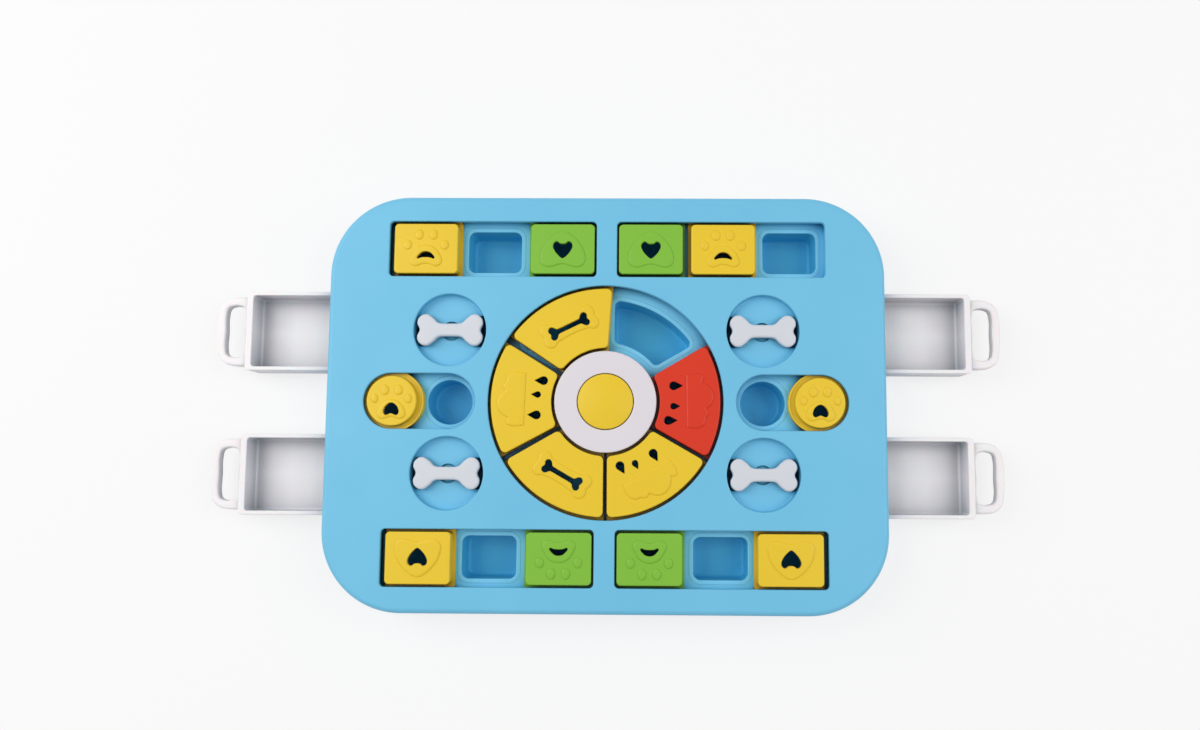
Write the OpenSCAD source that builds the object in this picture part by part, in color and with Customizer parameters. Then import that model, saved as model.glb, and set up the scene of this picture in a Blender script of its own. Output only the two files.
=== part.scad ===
// Dog puzzle feeder: a shallow board with treat wells under sliding and turning covers.
// Millimetres. +X right, +Y to the back of the board, +Z up. Origin: floor, middle of the board.

/* [Board] */
// Height of the deck above the floor
body_h = 38; // [36:0.5:44]
// Deck between the round slots and the sides
side_margin = 26.7; // [24:0.1:34]
// Deck between the straight slots and the front and back
end_margin = 18.1; // [17:0.1:26]
// Radius of the board's corners, seen from above
corner_r = 56; // [44:1:60]
// Radius of the rounded edge round the deck
edge_r = 4; // [2:0.5:5]
// Thickness of the deck
deck_t = 3; // [2.4:0.1:3.6]
// Thickness of the outer wall
wall = 2.5; // [2:0.1:3]
// Thickness of the bottom plate
base_t = 2.5; // [2:0.1:3]
// Thickness of the rubber feet
foot_t = 1.5; // [1:0.1:2.5]
// Radius of the rubber feet
foot_r = 9; // [6:0.5:11]

/* [Tracks and trays] */
// Height of the space under the deck that the cover flanges run in
track_h = 7; // [6:0.1:8]
// Thickness of the tray sheets
sheet_t = 2; // [1.6:0.1:2.2]
// Wall and floor of the treat wells
well_wall = 1.8; // [1.4:0.1:2.2]
// Wall that guides the flanges
guide_wall = 1.8; // [1.4:0.1:1.8]
// Width of the deck lip over the long edges of a flange
lip = 2; // [1.5:0.1:2]
// Running clearance of what slides or turns
run_gap = 0.3; // [0.2:0.05:0.4]
// Height of the caps above the deck
cap_rise = 1.5; // [0:0.1:2]
// Wall of the hollow covers
cover_wall = 1.8; // [1.4:0.1:2.4]
// Height of the raised patterns
relief_h = 0.9; // [0.3:0.1:1.2]

/* [Straight tracks] */
// Length of a rectangular cap
cap_l = 44.8; // [42:0.1:46]
// Width of a rectangular cap
cap_w = 35.5; // [33:0.1:37]
// Reach of a flange beyond the ends of its cap
flange_step = 1.8; // [1.2:0.1:2.4]
// Gap between a cap and the long edges of its slot
cap_gap = 1.9; // [1.2:0.1:2.4]
// Spare length of a track once three covers are in it
track_play = 2.8; // [1.8:0.1:4]
// Deck lip over the ends of a track
end_lip = 1; // [0.6:0.1:1.6]
// Deck between the left and right slots
middle_bar = 14.4; // [12:0.1:22]
// Deck between the wheel opening and the straight slots
wheel_to_track = 6.4; // [6.3:0.1:12]
// Length of a rectangular treat well
well_l = 37.8; // [32:0.1:40]
// Width of a rectangular treat well
well_w = 29.5; // [26:0.1:32]
// Corner radius of the rectangular treat wells
well_r = 5; // [3:0.5:8]

/* [Round tracks] */
// Radius of a round cap
round_cap_r = 17.4; // [16:0.1:18]
// Half of the width of a round slot
round_slot_r = 19.4; // [18.8:0.1:20]
// Distance between the two ends of travel of a round cover
round_pitch = 39; // [36:0.1:42]
// Radius of a round treat well
round_well_r = 15.7; // [13:0.1:16.4]
// Deck between the wheel opening and the round slots
wheel_to_round = 8.8; // [8.4:0.1:12]

/* [Wheel] */
// Radius of the wheel opening in the deck
wheel_r = 81.7; // [78:0.1:88]
// Gap between the caps and what is round them
wheel_cap_gap = 2.2; // [1.6:0.1:3]
// Gap between one cap and the next
spoke_gap = 2.3; // [2:0.1:4]
// Radius of the white hub ring
hub_r = 35.3; // [34:0.1:37]
// Height of the hub ring above the deck
hub_rise = 2; // [1:0.1:3]
// Radius of the press button
button_r = 19.2; // [17:0.1:20]
// Travel of the press button
button_travel = 3; // [2:0.1:3.5]
// Radius of the inner edge of the wheel's treat wells
wheel_well_in = 43; // [42:0.1:48]
// Radius of the outer edge of the wheel's treat wells
wheel_well_out = 73.5; // [68:0.1:75]
// Distance from a spoke line to the side of a well
wheel_well_side = 5.5; // [4:0.1:8]

/* [Bones] */
// Radius of a bone's round recess
bone_recess_r = 25.4; // [24:0.1:26.5]
// Depth of the recess below the deck
bone_recess_d = 6; // [4.5:0.1:6]
// Thickness of a bone
bone_t = 6; // [4:0.1:7]
// Overall length of a bone
bone_l = 46; // [42:0.1:47]
// Height of a bone's ends
bone_end_w = 22.4; // [18:0.1:23]
// Width of a bone's waist
bone_waist = 9; // [8:0.1:11]
// Radius of the pivot pin
pin_r = 4; // [3:0.1:4.3]
// Deck between a bone recess and the round slots
bone_to_round = 5.2; // [5.2:0.1:8]
// Deck between a bone recess and the wheel opening
bone_to_wheel = 13.1; // [8:0.1:16]

/* [Drawers] */
// Length of a drawer without its handle
drawer_l = 107; // [96:1:112]
// Width of a drawer
drawer_w = 57; // [50:0.5:59]
// Distance of a drawer's middle from the board's middle line
drawer_y = 51.2; // [50.6:0.1:52]
// How far the drawers stand out of the board
drawer_out = 64; // [40:1:75]
// Wall and floor of a drawer
drawer_wall = 2.8; // [1.6:0.1:3.2]
// Thickness of a drawer's front
drawer_front = 4.5; // [2.4:0.1:5.5]
// Length of a drawer that its stops keep inside the board
drawer_kept = 20; // [15:1:30]
// Height of a drawer's stop lugs
lug_h = 1.8; // [1.4:0.1:2.2]
// Reach of the handle in front of the drawer
handle_reach = 22; // [18:0.5:28]
// Width of the handle
handle_w = 50; // [42:0.5:54]
// Width of the handle's bar
handle_bar = 6.2; // [5:0.1:9]
// Thickness of the handle
handle_t = 7; // [5:0.1:8]

/* [Hidden] */
$fn = 96;

BLUE = "#76C5E8";
YELLOW = "#EBCA41";
GREEN = "#84C044";
RED = "#D93822";
WHITE = "#E9E4E8";
FROSTED = "#EDE5E8";
RUBBER = "#3A3F44";
STEEL = "#B9BCC0";

// Heights
plate_z = foot_t;
plate_top = plate_z + base_t;
under_deck = body_h - deck_t;
ledge_z = under_deck - track_h;
sheet_z = ledge_z - sheet_t;
cup_z = plate_top + run_gap;
cup_floor = cup_z + well_wall;
flange_top_gap = 0.4;
flange_z = ledge_z + run_gap;
flange_top = under_deck - flange_top_gap;
cap_top = body_h + cap_rise;
// Width of the rails that the covers run on, under the deck lips
rail_w = lip - run_gap;
drawer_z = plate_top + run_gap;
drawer_top = sheet_z - flange_top_gap - lug_h;
// Rim that the wells hang by in their trays
well_rim = 1.2;
well_rim_t = 1;
well_gap = 0.1;
// Least distance from a well's rim to what is beside it
rim_apart = 0.6;
well_out = well_wall + well_rim + rim_apart;
// Overlap of shapes that are joined
slit = 0.05;
// Depth that a cutting shape starts before what it cuts
over = 1;
// Growth of a rounding circle, so that it crosses its lines instead of touching them
cross_over = 1.02;

// Straight tracks
flange_l = cap_l + 2 * flange_step;
pocket_l = 3 * flange_l + track_play;
slot_l = pocket_l - 2 * end_lip;
slot_w = cap_w + 2 * cap_gap;
flange_w = slot_w + 2 * lip;
pocket_w = flange_w + 2 * run_gap;
track_x = middle_bar / 2 + slot_l / 2;
track_y = wheel_r + wheel_to_track + slot_w / 2;
track_pitch = flange_l + track_play / 3;
slot_r = 3;
cap_r = 3;
cup_l = min(well_l, track_pitch - 2 * well_out);
cup_w = min(well_w, pocket_w - 2 * well_out);
// Furthest place of a cover's middle from the middle of its track
track_end = (pocket_l - flange_l) / 2 - run_gap;
// Room that the covers at the outer ends, and at the inner ends, have left to their stops
outer_play = 2.4;
inner_play = 0.3;
middle_play = 1.4;

// Round tracks
round_flange_r = round_slot_r + lip;
round_pocket_r = round_flange_r + run_gap;
round_in_x = wheel_r + wheel_to_round + round_slot_r;
round_out_x = round_in_x + round_pitch;
round_play = 0.5;
round_cup_r = min(round_well_r, round_pitch / 2 - well_out);

// Board
body_l = 2 * (round_out_x + round_slot_r + side_margin);
body_w = 2 * (track_y + slot_w / 2 + end_margin);
inner_l = body_l - 2 * wall;
inner_w = body_w - 2 * wall;
inner_r = corner_r - wall;

// Wheel
wheel_flange_r = wheel_r + lip;
wheel_pocket_r = wheel_flange_r + run_gap;
wheel_cap_out = wheel_r - wheel_cap_gap;
wheel_cap_in = hub_r + wheel_cap_gap;
hub_lip = 1.8;
wheel_flange_in = hub_r - hub_lip;
hub_boss_r = wheel_flange_in - run_gap;
wheel_cup_in = max(wheel_well_in, hub_boss_r + well_out);
wheel_cup_out = min(wheel_well_out, wheel_pocket_r - well_out);
wheel_cup_side = max(wheel_well_side, well_out);
button_gap = 0.4;
button_flange_r = button_r + 3.2;
button_flange_t = 2;
hub_bore_r = button_flange_r + button_gap;
// The step in the hub's bore that stops the pressed button
hub_stop_r = button_r + 1.2;
hub_stop_z = flange_top - button_flange_t - button_travel - 0.2;
hub_screw_r = (hub_bore_r + hub_boss_r) / 2;
// Distance from a spoke line to the side of a wheel cover's flange
flange_gap = 0.9;
// Corner radii of the wheel's wells, covers and flanges
sector_well_r = 4;
sector_cap_r = 3.5;
sector_flange_r = 1;
air_hole_r = 2;
// Depth of the ring screws' heads in the wheel tray
head_sunk = 0.2;
sheet_edge = guide_wall / 2 - 0.15;

// Bones
bone_y = round_slot_r + bone_to_round + bone_recess_r;
bone_x = sqrt(pow(wheel_r + bone_to_wheel + bone_recess_r, 2) - bone_y * bone_y);
bone_floor_top = body_h - bone_recess_d;
bone_floor_t = 3;
bone_floor_z = bone_floor_top - bone_floor_t;
bone_cup_wall = 2;
bone_knob_r = bone_end_w / 4 + 0.4;
pin_gap = 0.1;
// The dish round the pin hole
pin_dish_r = pin_r + 2.7;
pin_dish_d = 1.8;
// Bone left over the screw in its pin
pin_roof = 1.6;

// Screws
screw_r = 1.3;
screw_hole_r = 1.7;
screw_head_r = 2.8;
screw_head_t = 1.4;
head_gap = 0.4;
// Room beyond a screw's end in its hole
screw_end_gap = 0.6;
cross_l = 3.2;
cross_w = 0.8;
ear_r = 4.5;
ear_tab = 2.5;
boss_r = 3.8;
post_r = 4.5;
post_to_wall = 1;
base_screw_l = 10;
tray_screw_short = 1.5;
post_hole = base_screw_l + 2;

// Where the screws are: [x, y] in the right rear quarter
corner_reach = (inner_r - post_r - post_to_wall) * sqrt(0.5);
corner_post = [inner_l / 2 - inner_r + corner_reach, inner_w / 2 - inner_r + corner_reach];
rear_post = [0, inner_w / 2 - post_r - post_to_wall];
side_post = [inner_l / 2 - post_r - post_to_wall, 0];
ear_reach = guide_wall + ear_r;
ear_in = 1;
ear_y = track_y + pocket_w / 2 + ear_reach - ear_in;
rear_ear_x = pocket_l / 3;
end_ear_x = track_x + pocket_l / 2 + ear_reach - ear_in;
round_ear_x = round_out_x + round_pocket_r + ear_reach - ear_in;
round_ear_y = round_pocket_r + ear_reach;
wheel_ear_r = wheel_pocket_r + ear_reach;

// Drawers
drawer_front_x = body_l / 2 + drawer_out;
drawer_back_x = drawer_front_x - drawer_l;
window_gap = 0.4;
rail_h = 6;
rail_t = 2;
rail_l = drawer_l * 0.8;
rail_in = 6;
lug_l = 6;
lug_t = 2;
lug_in = 3;
handle_down = 3;
handle_root = 10;
handle_r = 9;
handle_hole_r = 3.5;
// Part of the handle's loop that lies along the drawer's front
handle_foot = 2.5;
drawer_r = 3;
drawer_inner_r = 2;

// ---------------------------------------------------------------- flat shapes

module rounded_rect(l, w, r) {
  square([l - 2 * r, w], center = true);
  square([l, w - 2 * r], center = true);
  for (x = [-1, 1], y = [-1, 1])
    translate([x * (l / 2 - r), y * (w / 2 - r)])
      circle(r);
}

// A slot with round ends between two points on the X axis
module long_hole(x0, x1, r) {
  translate([x0, -r])
    square([x1 - x0, 2 * r]);
  translate([x0, 0])
    circle(r);
  translate([x1, 0])
    circle(r);
}

// The wedge of 60 degrees about the X axis, its sides moved in by side
module wedge(side, reach) {
  tip = side / sin(30);
  polygon([
    [tip, 0],
    [tip + reach * cos(30), -reach * sin(30)],
    [tip + reach * cos(30), reach * sin(30)]
  ]);
}

// Takes the sharp corner off a ring sector, where its side line meets the arc of radius r
module corner_cutter(r, side, rho, outer) {
  centre_r = outer ? r - rho : r + rho;
  turn = 30 - asin((side + rho) / centre_r);
  centre = centre_r * [cos(turn), sin(turn)];
  on_arc = (outer ? r + rho : r - rho) * [cos(turn), sin(turn)];
  on_side = centre + 2 * rho * [cos(120), sin(120)];
  far_corner = on_arc + (on_side - centre);
  difference() {
    polygon([centre, on_arc, far_corner, on_side]);
    translate(centre)
      circle(rho * cross_over);
  }
}

// A sector of the wheel, 60 degrees about the X axis, with rounded corners
module ring_sector(r_in, r_out, side, rho) {
  difference() {
    intersection() {
      circle(r_out, $fn = 180);
      wedge(side, 2 * r_out);
    }
    circle(r_in, $fn = 180);
    for (flip = [0, 1])
      mirror([0, flip, 0]) {
        corner_cutter(r_out, side, rho, true);
        corner_cutter(r_in, side, rho, false);
      }
  }
}

// A bone along X: bar, and two knobs at each end
module bone_shape(length, end_w, bar, knob_r) {
  square([length - 2 * knob_r, bar], center = true);
  for (x = [-1, 1], y = [-1, 1])
    translate([x * (length / 2 - knob_r), y * (end_w / 2 - knob_r)])
      circle(knob_r);
  for (x = [-1, 1])
    translate([x * (length / 2 - knob_r * 1.3), 0])
      square([knob_r * 1.2, end_w - 2 * knob_r], center = true);
}

// A bone whose waist flares out to its ends
module flared_bone(length, end_w, bar, knob_r) {
  neck_x = length / 2 - 1.6 * knob_r;
  bone_shape(length, end_w, bar, knob_r);
  for (x = [0, 1])
    mirror([x, 0, 0])
      polygon([
        [neck_x - end_w * 0.36, -bar / 2],
        [neck_x + knob_r * 0.1, -end_w / 2 + knob_r * 0.5],
        [neck_x + knob_r * 0.1, end_w / 2 - knob_r * 0.5],
        [neck_x - end_w * 0.36, bar / 2]
      ]);
}

// A heart, point down, width w: two circles over a square on its corner
module heart(w) {
  lobe = w / (2 + sqrt(2));
  for (x = [-1, 1])
    translate([x * lobe * sqrt(0.5), lobe * sqrt(0.5)])
      circle(lobe);
  rotate(45)
    square([2 * lobe, 2 * lobe], center = true);
}

// A pip of a melon: round end and a point towards +X
module pip(r) {
  circle(r);
  polygon([[0, 0.9 * r], [2 * r, 0], [0, -0.9 * r]]);
}

// The pad hole of the paw pattern: a dome with a hollow foot
module crescent(w) {
  difference() {
    circle(w / 2);
    translate([0, -w * 0.62])
      circle(w * 0.66);
  }
}

// ---------------------------------------------------------------- outer shapes

// A slab with round corners and a rounded top edge, standing on z = 0
module soft_slab(l, w, h, r, e) {
  for (x = [-1, 1], y = [-1, 1])
    translate([x * (l / 2 - r), y * (w / 2 - r), 0])
      rotate_extrude()
        soft_profile(r, h, e);
  for (turn = [0, 90])
    rotate([0, 0, turn])
      rotate([90, 0, 0])
        linear_extrude((turn == 0 ? w : l) - 2 * r, center = true)
          soft_bar_profile(turn == 0 ? l : w, h, e);
}

module soft_profile(r, h, e) {
  square([r, h - e]);
  square([r - e, h]);
  translate([r - e, h - e])
    circle(e);
}

module soft_bar_profile(l, h, e) {
  for (x = [0, 1])
    mirror([x, 0, 0])
      soft_profile(l / 2, h, e);
}

// ---------------------------------------------------------------- places

module at_tracks()
  for (x = [-1, 1], y = [-1, 1])
    translate([x * track_x, y * track_y, 0])
      children();

module at_bones()
  for (x = [-1, 1], y = [-1, 1])
    translate([x * bone_x, y * bone_y, 0])
      children();

module at_posts() {
  for (x = [-1, 1], y = [-1, 1])
    translate([x * corner_post[0], y * corner_post[1], 0])
      children();
  for (side = [-1, 1]) {
    translate([0, side * rear_post[1], 0])
      children();
    translate([side * side_post[0], 0, 0])
      children();
  }
}

// The ears of one straight tray, from the middle of its track, each with +X pointing away from the
// tray; out_x and out_y are the sides that face outwards
module at_track_ears(out_x, out_y) {
  for (x = [-1, 1])
    translate([x * rear_ear_x, out_y * (ear_y - track_y), 0])
      rotate(90 * out_y)
        children();
  translate([out_x * (end_ear_x - track_x), 0, 0])
    rotate(90 - 90 * out_x)
      children();
}

module at_round_ears(out_x) {
  translate([out_x * round_ear_x, 0, 0])
    rotate(90 - 90 * out_x)
      children();
  for (y = [-1, 1])
    translate([out_x * round_out_x, y * round_ear_y, 0])
      rotate(90 * y)
        children();
}

module at_wheel_ears()
  for (turn = [45:90:315])
    rotate(turn)
      translate([wheel_ear_r, 0, 0])
        children();

module ear() {
  circle(ear_r);
  translate([-ear_r - ear_tab, -ear_r])
    square([ear_r + ear_tab, 2 * ear_r]);
}

module at_all_ears() {
  for (x = [-1, 1], y = [-1, 1])
    translate([x * track_x, y * track_y, 0])
      at_track_ears(x, y)
        children();
  for (x = [-1, 1])
    at_round_ears(x)
      children();
  at_wheel_ears()
    children();
}

// The hollows under the deck that the flanges run in, grown by more
module pockets(more) {
  at_tracks()
    rounded_rect(pocket_l + 2 * more, pocket_w + 2 * more, slot_r + more);
  for (turn = [0, 180])
    rotate(turn)
      long_hole(round_in_x, round_out_x, round_pocket_r + more);
  circle(wheel_pocket_r + more, $fn = 180);
}

// ---------------------------------------------------------------- root body

module deck_openings() {
  at_tracks()
    rounded_rect(slot_l, slot_w, slot_r);
  for (turn = [0, 180])
    rotate(turn)
      long_hole(round_in_x, round_out_x, round_slot_r);
  circle(wheel_r, $fn = 180);
  at_bones()
    circle(bone_recess_r);
}

// Openings in a recess floor beyond the ends of its bone
module chute_pair() {
  half_bridge = bone_l * 0.36;
  intersection() {
    circle(bone_recess_r);
    difference() {
      square([2 * bone_recess_r, bone_end_w - 0.4], center = true);
      square([2 * half_bridge, bone_end_w], center = true);
    }
  }
}

module deck_shell() {
  difference() {
    translate([0, 0, plate_z])
      soft_slab(body_l, body_w, body_h - plate_z, corner_r, edge_r);
    translate([0, 0, plate_z - over])
      linear_extrude(under_deck - plate_z + over)
        rounded_rect(inner_l, inner_w, inner_r);
    translate([0, 0, under_deck - over])
      linear_extrude(deck_t + 2 * over)
        deck_openings();
    for (x = [-1, 1], y = [-1, 1])
      translate([x * body_l / 2, y * drawer_y, (plate_top + drawer_top + window_gap) / 2])
        cube([4 * wall, drawer_w + 2 * window_gap, drawer_top + window_gap - plate_top], center = true);
  }
}

module deck_guides() {
  translate([0, 0, ledge_z])
    linear_extrude(track_h + deck_t / 2)
      difference() {
        union() {
          difference() {
            pockets(guide_wall);
            pockets(0);
          }
          difference() {
            at_all_ears()
              circle(boss_r);
            pockets(guide_wall / 2);
          }
        }
        at_all_ears()
          circle(screw_r);
      }
}

module bone_cups() {
  at_bones() {
    translate([0, 0, bone_floor_z])
      linear_extrude(under_deck + deck_t / 2 - bone_floor_z)
        difference() {
          circle(bone_recess_r + bone_cup_wall);
          circle(bone_recess_r);
        }
    difference() {
      translate([0, 0, bone_floor_z])
        linear_extrude(bone_floor_t)
          difference() {
            circle(bone_recess_r + bone_cup_wall / 2);
            circle(pin_r + pin_gap);
            chute_pair();
          }
      translate([0, 0, bone_floor_top - pin_dish_d])
        cylinder(r = pin_dish_r, h = pin_dish_d + over);
    }
  }
}

module deck_posts() {
  at_posts()
    translate([0, 0, plate_top])
      difference() {
        cylinder(r = post_r, h = under_deck + deck_t / 2 - plate_top);
        translate([0, 0, -over])
          cylinder(r = screw_r, h = over + post_hole);
      }
}

module top_deck()
  color(BLUE)
    union() {
      deck_shell();
      deck_guides();
      bone_cups();
      deck_posts();
    }

module bottom_plate()
  color(BLUE)
    difference() {
      union() {
        translate([0, 0, plate_z])
          linear_extrude(base_t)
            rounded_rect(inner_l - 2 * run_gap, inner_w - 2 * run_gap, inner_r - run_gap);
        for (x = [-1, 1], y = [-1, 1], side = [-1, 1])
          translate([
            x * (inner_l / 2 - rail_in - rail_l / 2),
            y * drawer_y + side * (drawer_w / 2 + window_gap + rail_t / 2),
            plate_top + rail_h / 2 - slit
          ])
            cube([rail_l, rail_t, rail_h + 2 * slit], center = true);
      }
      at_posts() {
        translate([0, 0, plate_z - over])
          cylinder(r = screw_hole_r, h = base_t + 2 * over);
        translate([0, 0, plate_z - over])
          cylinder(r = screw_head_r + head_gap, h = over + base_t / 2);
      }
    }

module rubber_feet()
  color(RUBBER)
    for (x = [-1, 0, 1], y = [-1, 1])
      translate([x * (track_x + rear_ear_x), y * track_y, 0])
        cylinder(r = foot_r, h = foot_t);

module base_screws()
  color(STEEL)
    at_posts()
      translate([0, 0, plate_z + base_t / 2])
        pan_screw(base_t / 2 - 0.1, base_screw_l);

// A pan-head screw, the underside of its head at z = 0 and its shank up along +Z
module pan_screw(head_t, shank) {
  translate([0, 0, -head_t])
    difference() {
      cylinder(r = screw_head_r, h = head_t);
      translate([0, 0, -slit])
        linear_extrude(head_t / 2)
          for (turn = [0, 90])
            rotate(turn)
              square([cross_l, cross_w], center = true);
    }
  translate([0, 0, -slit])
    cylinder(r = screw_r - slit, h = shank + slit);
}

module tray_screws()
  color(STEEL)
    at_all_ears()
      translate([0, 0, sheet_z])
        pan_screw(screw_head_t, sheet_t + track_h - tray_screw_short);

// ---------------------------------------------------------------- trays and wells

// A cup that hangs by its rim; its child is its plan, grown by $more
module hanging_cup()
  color(BLUE)
    difference() {
      union() {
        translate([0, 0, cup_z])
          linear_extrude(ledge_z - cup_z)
            grown(well_wall) children();
        translate([0, 0, ledge_z - well_rim_t])
          linear_extrude(well_rim_t)
            grown(well_wall + well_rim) children();
      }
      translate([0, 0, cup_floor])
        linear_extrude(ledge_z - cup_floor + over)
          grown(0) children();
    }

// What is cut out of a tray for a cup and its rim
module cup_seat() {
  translate([0, 0, sheet_z - over])
    linear_extrude(sheet_t + 2 * over)
      grown(well_wall + well_gap) children();
  translate([0, 0, ledge_z - well_rim_t])
    linear_extrude(well_rim_t + over)
      grown(well_wall + well_rim + well_gap) children();
}

module grown(more) {
  $more = more;
  children();
}

module straight_well_plan()
  rounded_rect(cup_l + 2 * $more, cup_w + 2 * $more, well_r + $more);

module round_well_plan()
  circle(round_cup_r + $more);

module wheel_well_plan()
  ring_sector(wheel_cup_in - $more, wheel_cup_out + $more, wheel_cup_side - $more, sector_well_r + $more);

module straight_tray(out_x, out_y)
  color(BLUE)
    translate([out_x * track_x, out_y * track_y, 0])
      difference() {
        translate([0, 0, sheet_z])
          linear_extrude(sheet_t)
            difference() {
              union() {
                rounded_rect(pocket_l + 2 * sheet_edge, pocket_w + 2 * sheet_edge, slot_r);
                at_track_ears(out_x, out_y)
                  ear();
              }
              at_track_ears(out_x, out_y)
                circle(screw_hole_r);
            }
        for (place = [-1, 0, 1])
          translate([place * track_pitch, 0, 0])
            cup_seat() straight_well_plan();
      }

module straight_wells(out_x, out_y)
  translate([out_x * track_x, out_y * track_y, 0])
    for (place = [-1, 0, 1])
      translate([place * track_pitch, 0, 0])
        hanging_cup() straight_well_plan();

module round_tray(out_x)
  color(BLUE)
    difference() {
      translate([0, 0, sheet_z])
        linear_extrude(sheet_t)
          difference() {
            union() {
              rotate(90 - 90 * out_x)
                long_hole(round_in_x, round_out_x, round_pocket_r + sheet_edge);
              at_round_ears(out_x)
                ear();
            }
            at_round_ears(out_x)
              circle(screw_hole_r);
          }
      for (x = [round_in_x, round_out_x])
        translate([out_x * x, 0, 0])
          cup_seat() round_well_plan();
    }

module round_wells(out_x)
  for (x = [round_in_x, round_out_x])
    translate([out_x * x, 0, 0])
      hanging_cup() round_well_plan();

module wheel_wells()
  for (turn = [0:60:300])
    rotate(turn)
      hanging_cup() wheel_well_plan();

module wheel_tray()
  color(BLUE)
    difference() {
      union() {
        translate([0, 0, sheet_z])
          linear_extrude(sheet_t) {
            circle(wheel_pocket_r + sheet_edge, $fn = 180);
            at_wheel_ears()
              ear();
          }
        translate([0, 0, cup_z])
          cylinder(r = hub_stop_r + well_wall, h = sheet_z + slit - cup_z);
        translate([0, 0, ledge_z - slit])
          cylinder(r = hub_boss_r, h = track_h + slit);
      }
      for (turn = [0:60:300])
        rotate(turn)
          cup_seat() wheel_well_plan();
      translate([0, 0, cup_floor])
        cylinder(r = hub_stop_r, h = body_h);
      translate([0, 0, hub_stop_z])
        cylinder(r = hub_bore_r, h = body_h);
      translate([0, 0, cup_z - over])
        cylinder(r = air_hole_r, h = well_wall + 2 * over);
      at_wheel_ears()
        translate([0, 0, sheet_z - over])
          cylinder(r = screw_hole_r, h = sheet_t + 2 * over);
      at_hub_screws() {
        translate([0, 0, sheet_z - over])
          cylinder(r = screw_hole_r, h = track_h + sheet_t + 2 * over);
        translate([0, 0, sheet_z - over])
          cylinder(r = screw_head_r + head_gap, h = over + screw_head_t + head_sunk);
      }
    }

// ---------------------------------------------------------------- hub

module at_hub_screws()
  for (turn = [90, 210, 330])
    rotate(turn)
      translate([hub_screw_r, 0, 0])
        children();

ring_t = deck_t + hub_rise;
ring_edge = 1.2;
// Ring left over the tips of its screws
ring_roof = 1.6;

module hub_ring()
  color(WHITE)
    difference() {
      rotate_extrude($fn = 180)
        difference() {
          translate([button_r + button_gap, under_deck])
            square([hub_r - button_r - button_gap, ring_t]);
          translate([hub_r - ring_edge, under_deck + ring_t - ring_edge])
            difference() {
              square([2 * ring_edge, 2 * ring_edge]);
              circle(ring_edge);
            }
        }
      at_hub_screws()
        translate([0, 0, under_deck - over])
          cylinder(r = screw_r, h = over + ring_t - ring_roof + screw_end_gap);
    }

module hub_ring_screws()
  color(STEEL)
    at_hub_screws()
      translate([0, 0, sheet_z + screw_head_t + head_sunk])
        pan_screw(screw_head_t, track_h + sheet_t - screw_head_t - head_sunk + ring_t - ring_roof);

button_dome = 2;
button_edge_z = body_h + hub_rise + 0.3;
button_roof = 2.4;

module hub_button() {
  dome_r = (button_r * button_r + button_dome * button_dome) / (2 * button_dome);
  color(YELLOW)
    difference() {
      union() {
        translate([0, 0, flange_top - button_flange_t])
          cylinder(r = button_flange_r, h = button_flange_t);
        intersection() {
          translate([0, 0, flange_top - slit])
            cylinder(r = button_r, h = button_edge_z + button_dome + over - flange_top);
          translate([0, 0, button_edge_z + button_dome - dome_r])
            sphere(dome_r);
        }
      }
      translate([0, 0, flange_top - button_flange_t - over])
        cylinder(r = button_r - button_roof,
                 h = button_edge_z - button_roof + over + button_flange_t - flange_top);
    }
}

bellows_z = cup_floor;
bellows_top = button_edge_z - button_roof - run_gap;
bellows_folds = 6;
bellows_out = button_r - 4;
bellows_in = bellows_out - 4;
bellows_skin = 1.2;
bellows_foot = 1.5;
reed_r = 4;
reed_h = 5;
reed_hole_r = 1.2;
reed_rim = 0.8;

// Points of the bellows' outline from the bottom up, moved in by skin
function bellows_side(skin) = [
  for (i = [0:2 * bellows_folds])
    [
      (i % 2 == 0 ? bellows_out : bellows_in) - skin,
      bellows_z + bellows_foot + (bellows_top - bellows_z - 2 * bellows_foot) * i / (2 * bellows_folds)
    ]
];

module squeaker_bellows()
  color(WHITE)
    rotate_extrude()
      difference() {
        polygon(concat([[0, bellows_z], [bellows_out, bellows_z]], bellows_side(0),
                       [[bellows_out, bellows_top], [0, bellows_top]]));
        polygon(concat([[0, bellows_z + bellows_foot]], bellows_side(bellows_skin),
                       [[0, bellows_top - bellows_foot]]));
        square([reed_r + slit, bellows_z + 2 * bellows_foot]);
      }

module squeaker_reed()
  color(WHITE)
    translate([0, 0, bellows_z])
      difference() {
        union() {
          cylinder(r = reed_r, h = reed_h);
          translate([0, 0, bellows_foot])
            cylinder(r = reed_r + reed_rim, h = 1);
        }
        translate([0, 0, -over])
          cylinder(r = reed_hole_r, h = reed_h + 2 * over);
      }

// ---------------------------------------------------------------- sliding covers

module paw_relief() {
  for (x = [-1, 1]) {
    translate([x * cap_l * 0.115, cap_w * 0.28])
      rounded_rect(5.6, 7, 2.7);
    translate([x * cap_l * 0.29, cap_w * 0.08])
      rounded_rect(6.2, 5.6, 2.7);
  }
  difference() {
    translate([0, -cap_w * 0.18])
      circle(cap_w * 0.31);
    translate([-cap_l / 2, -cap_w])
      square([cap_l, cap_w * 0.65]);
  }
}

module paw_hole()
  translate([0, -cap_w * 0.19])
    crescent(cap_w * 0.34);

module heart_relief()
  translate([0, -cap_w * 0.1])
    rotate(180)
      heart(cap_w * 0.78);

module heart_hole()
  translate([0, -cap_w * 0.04])
    heart(cap_w * 0.34);

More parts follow.
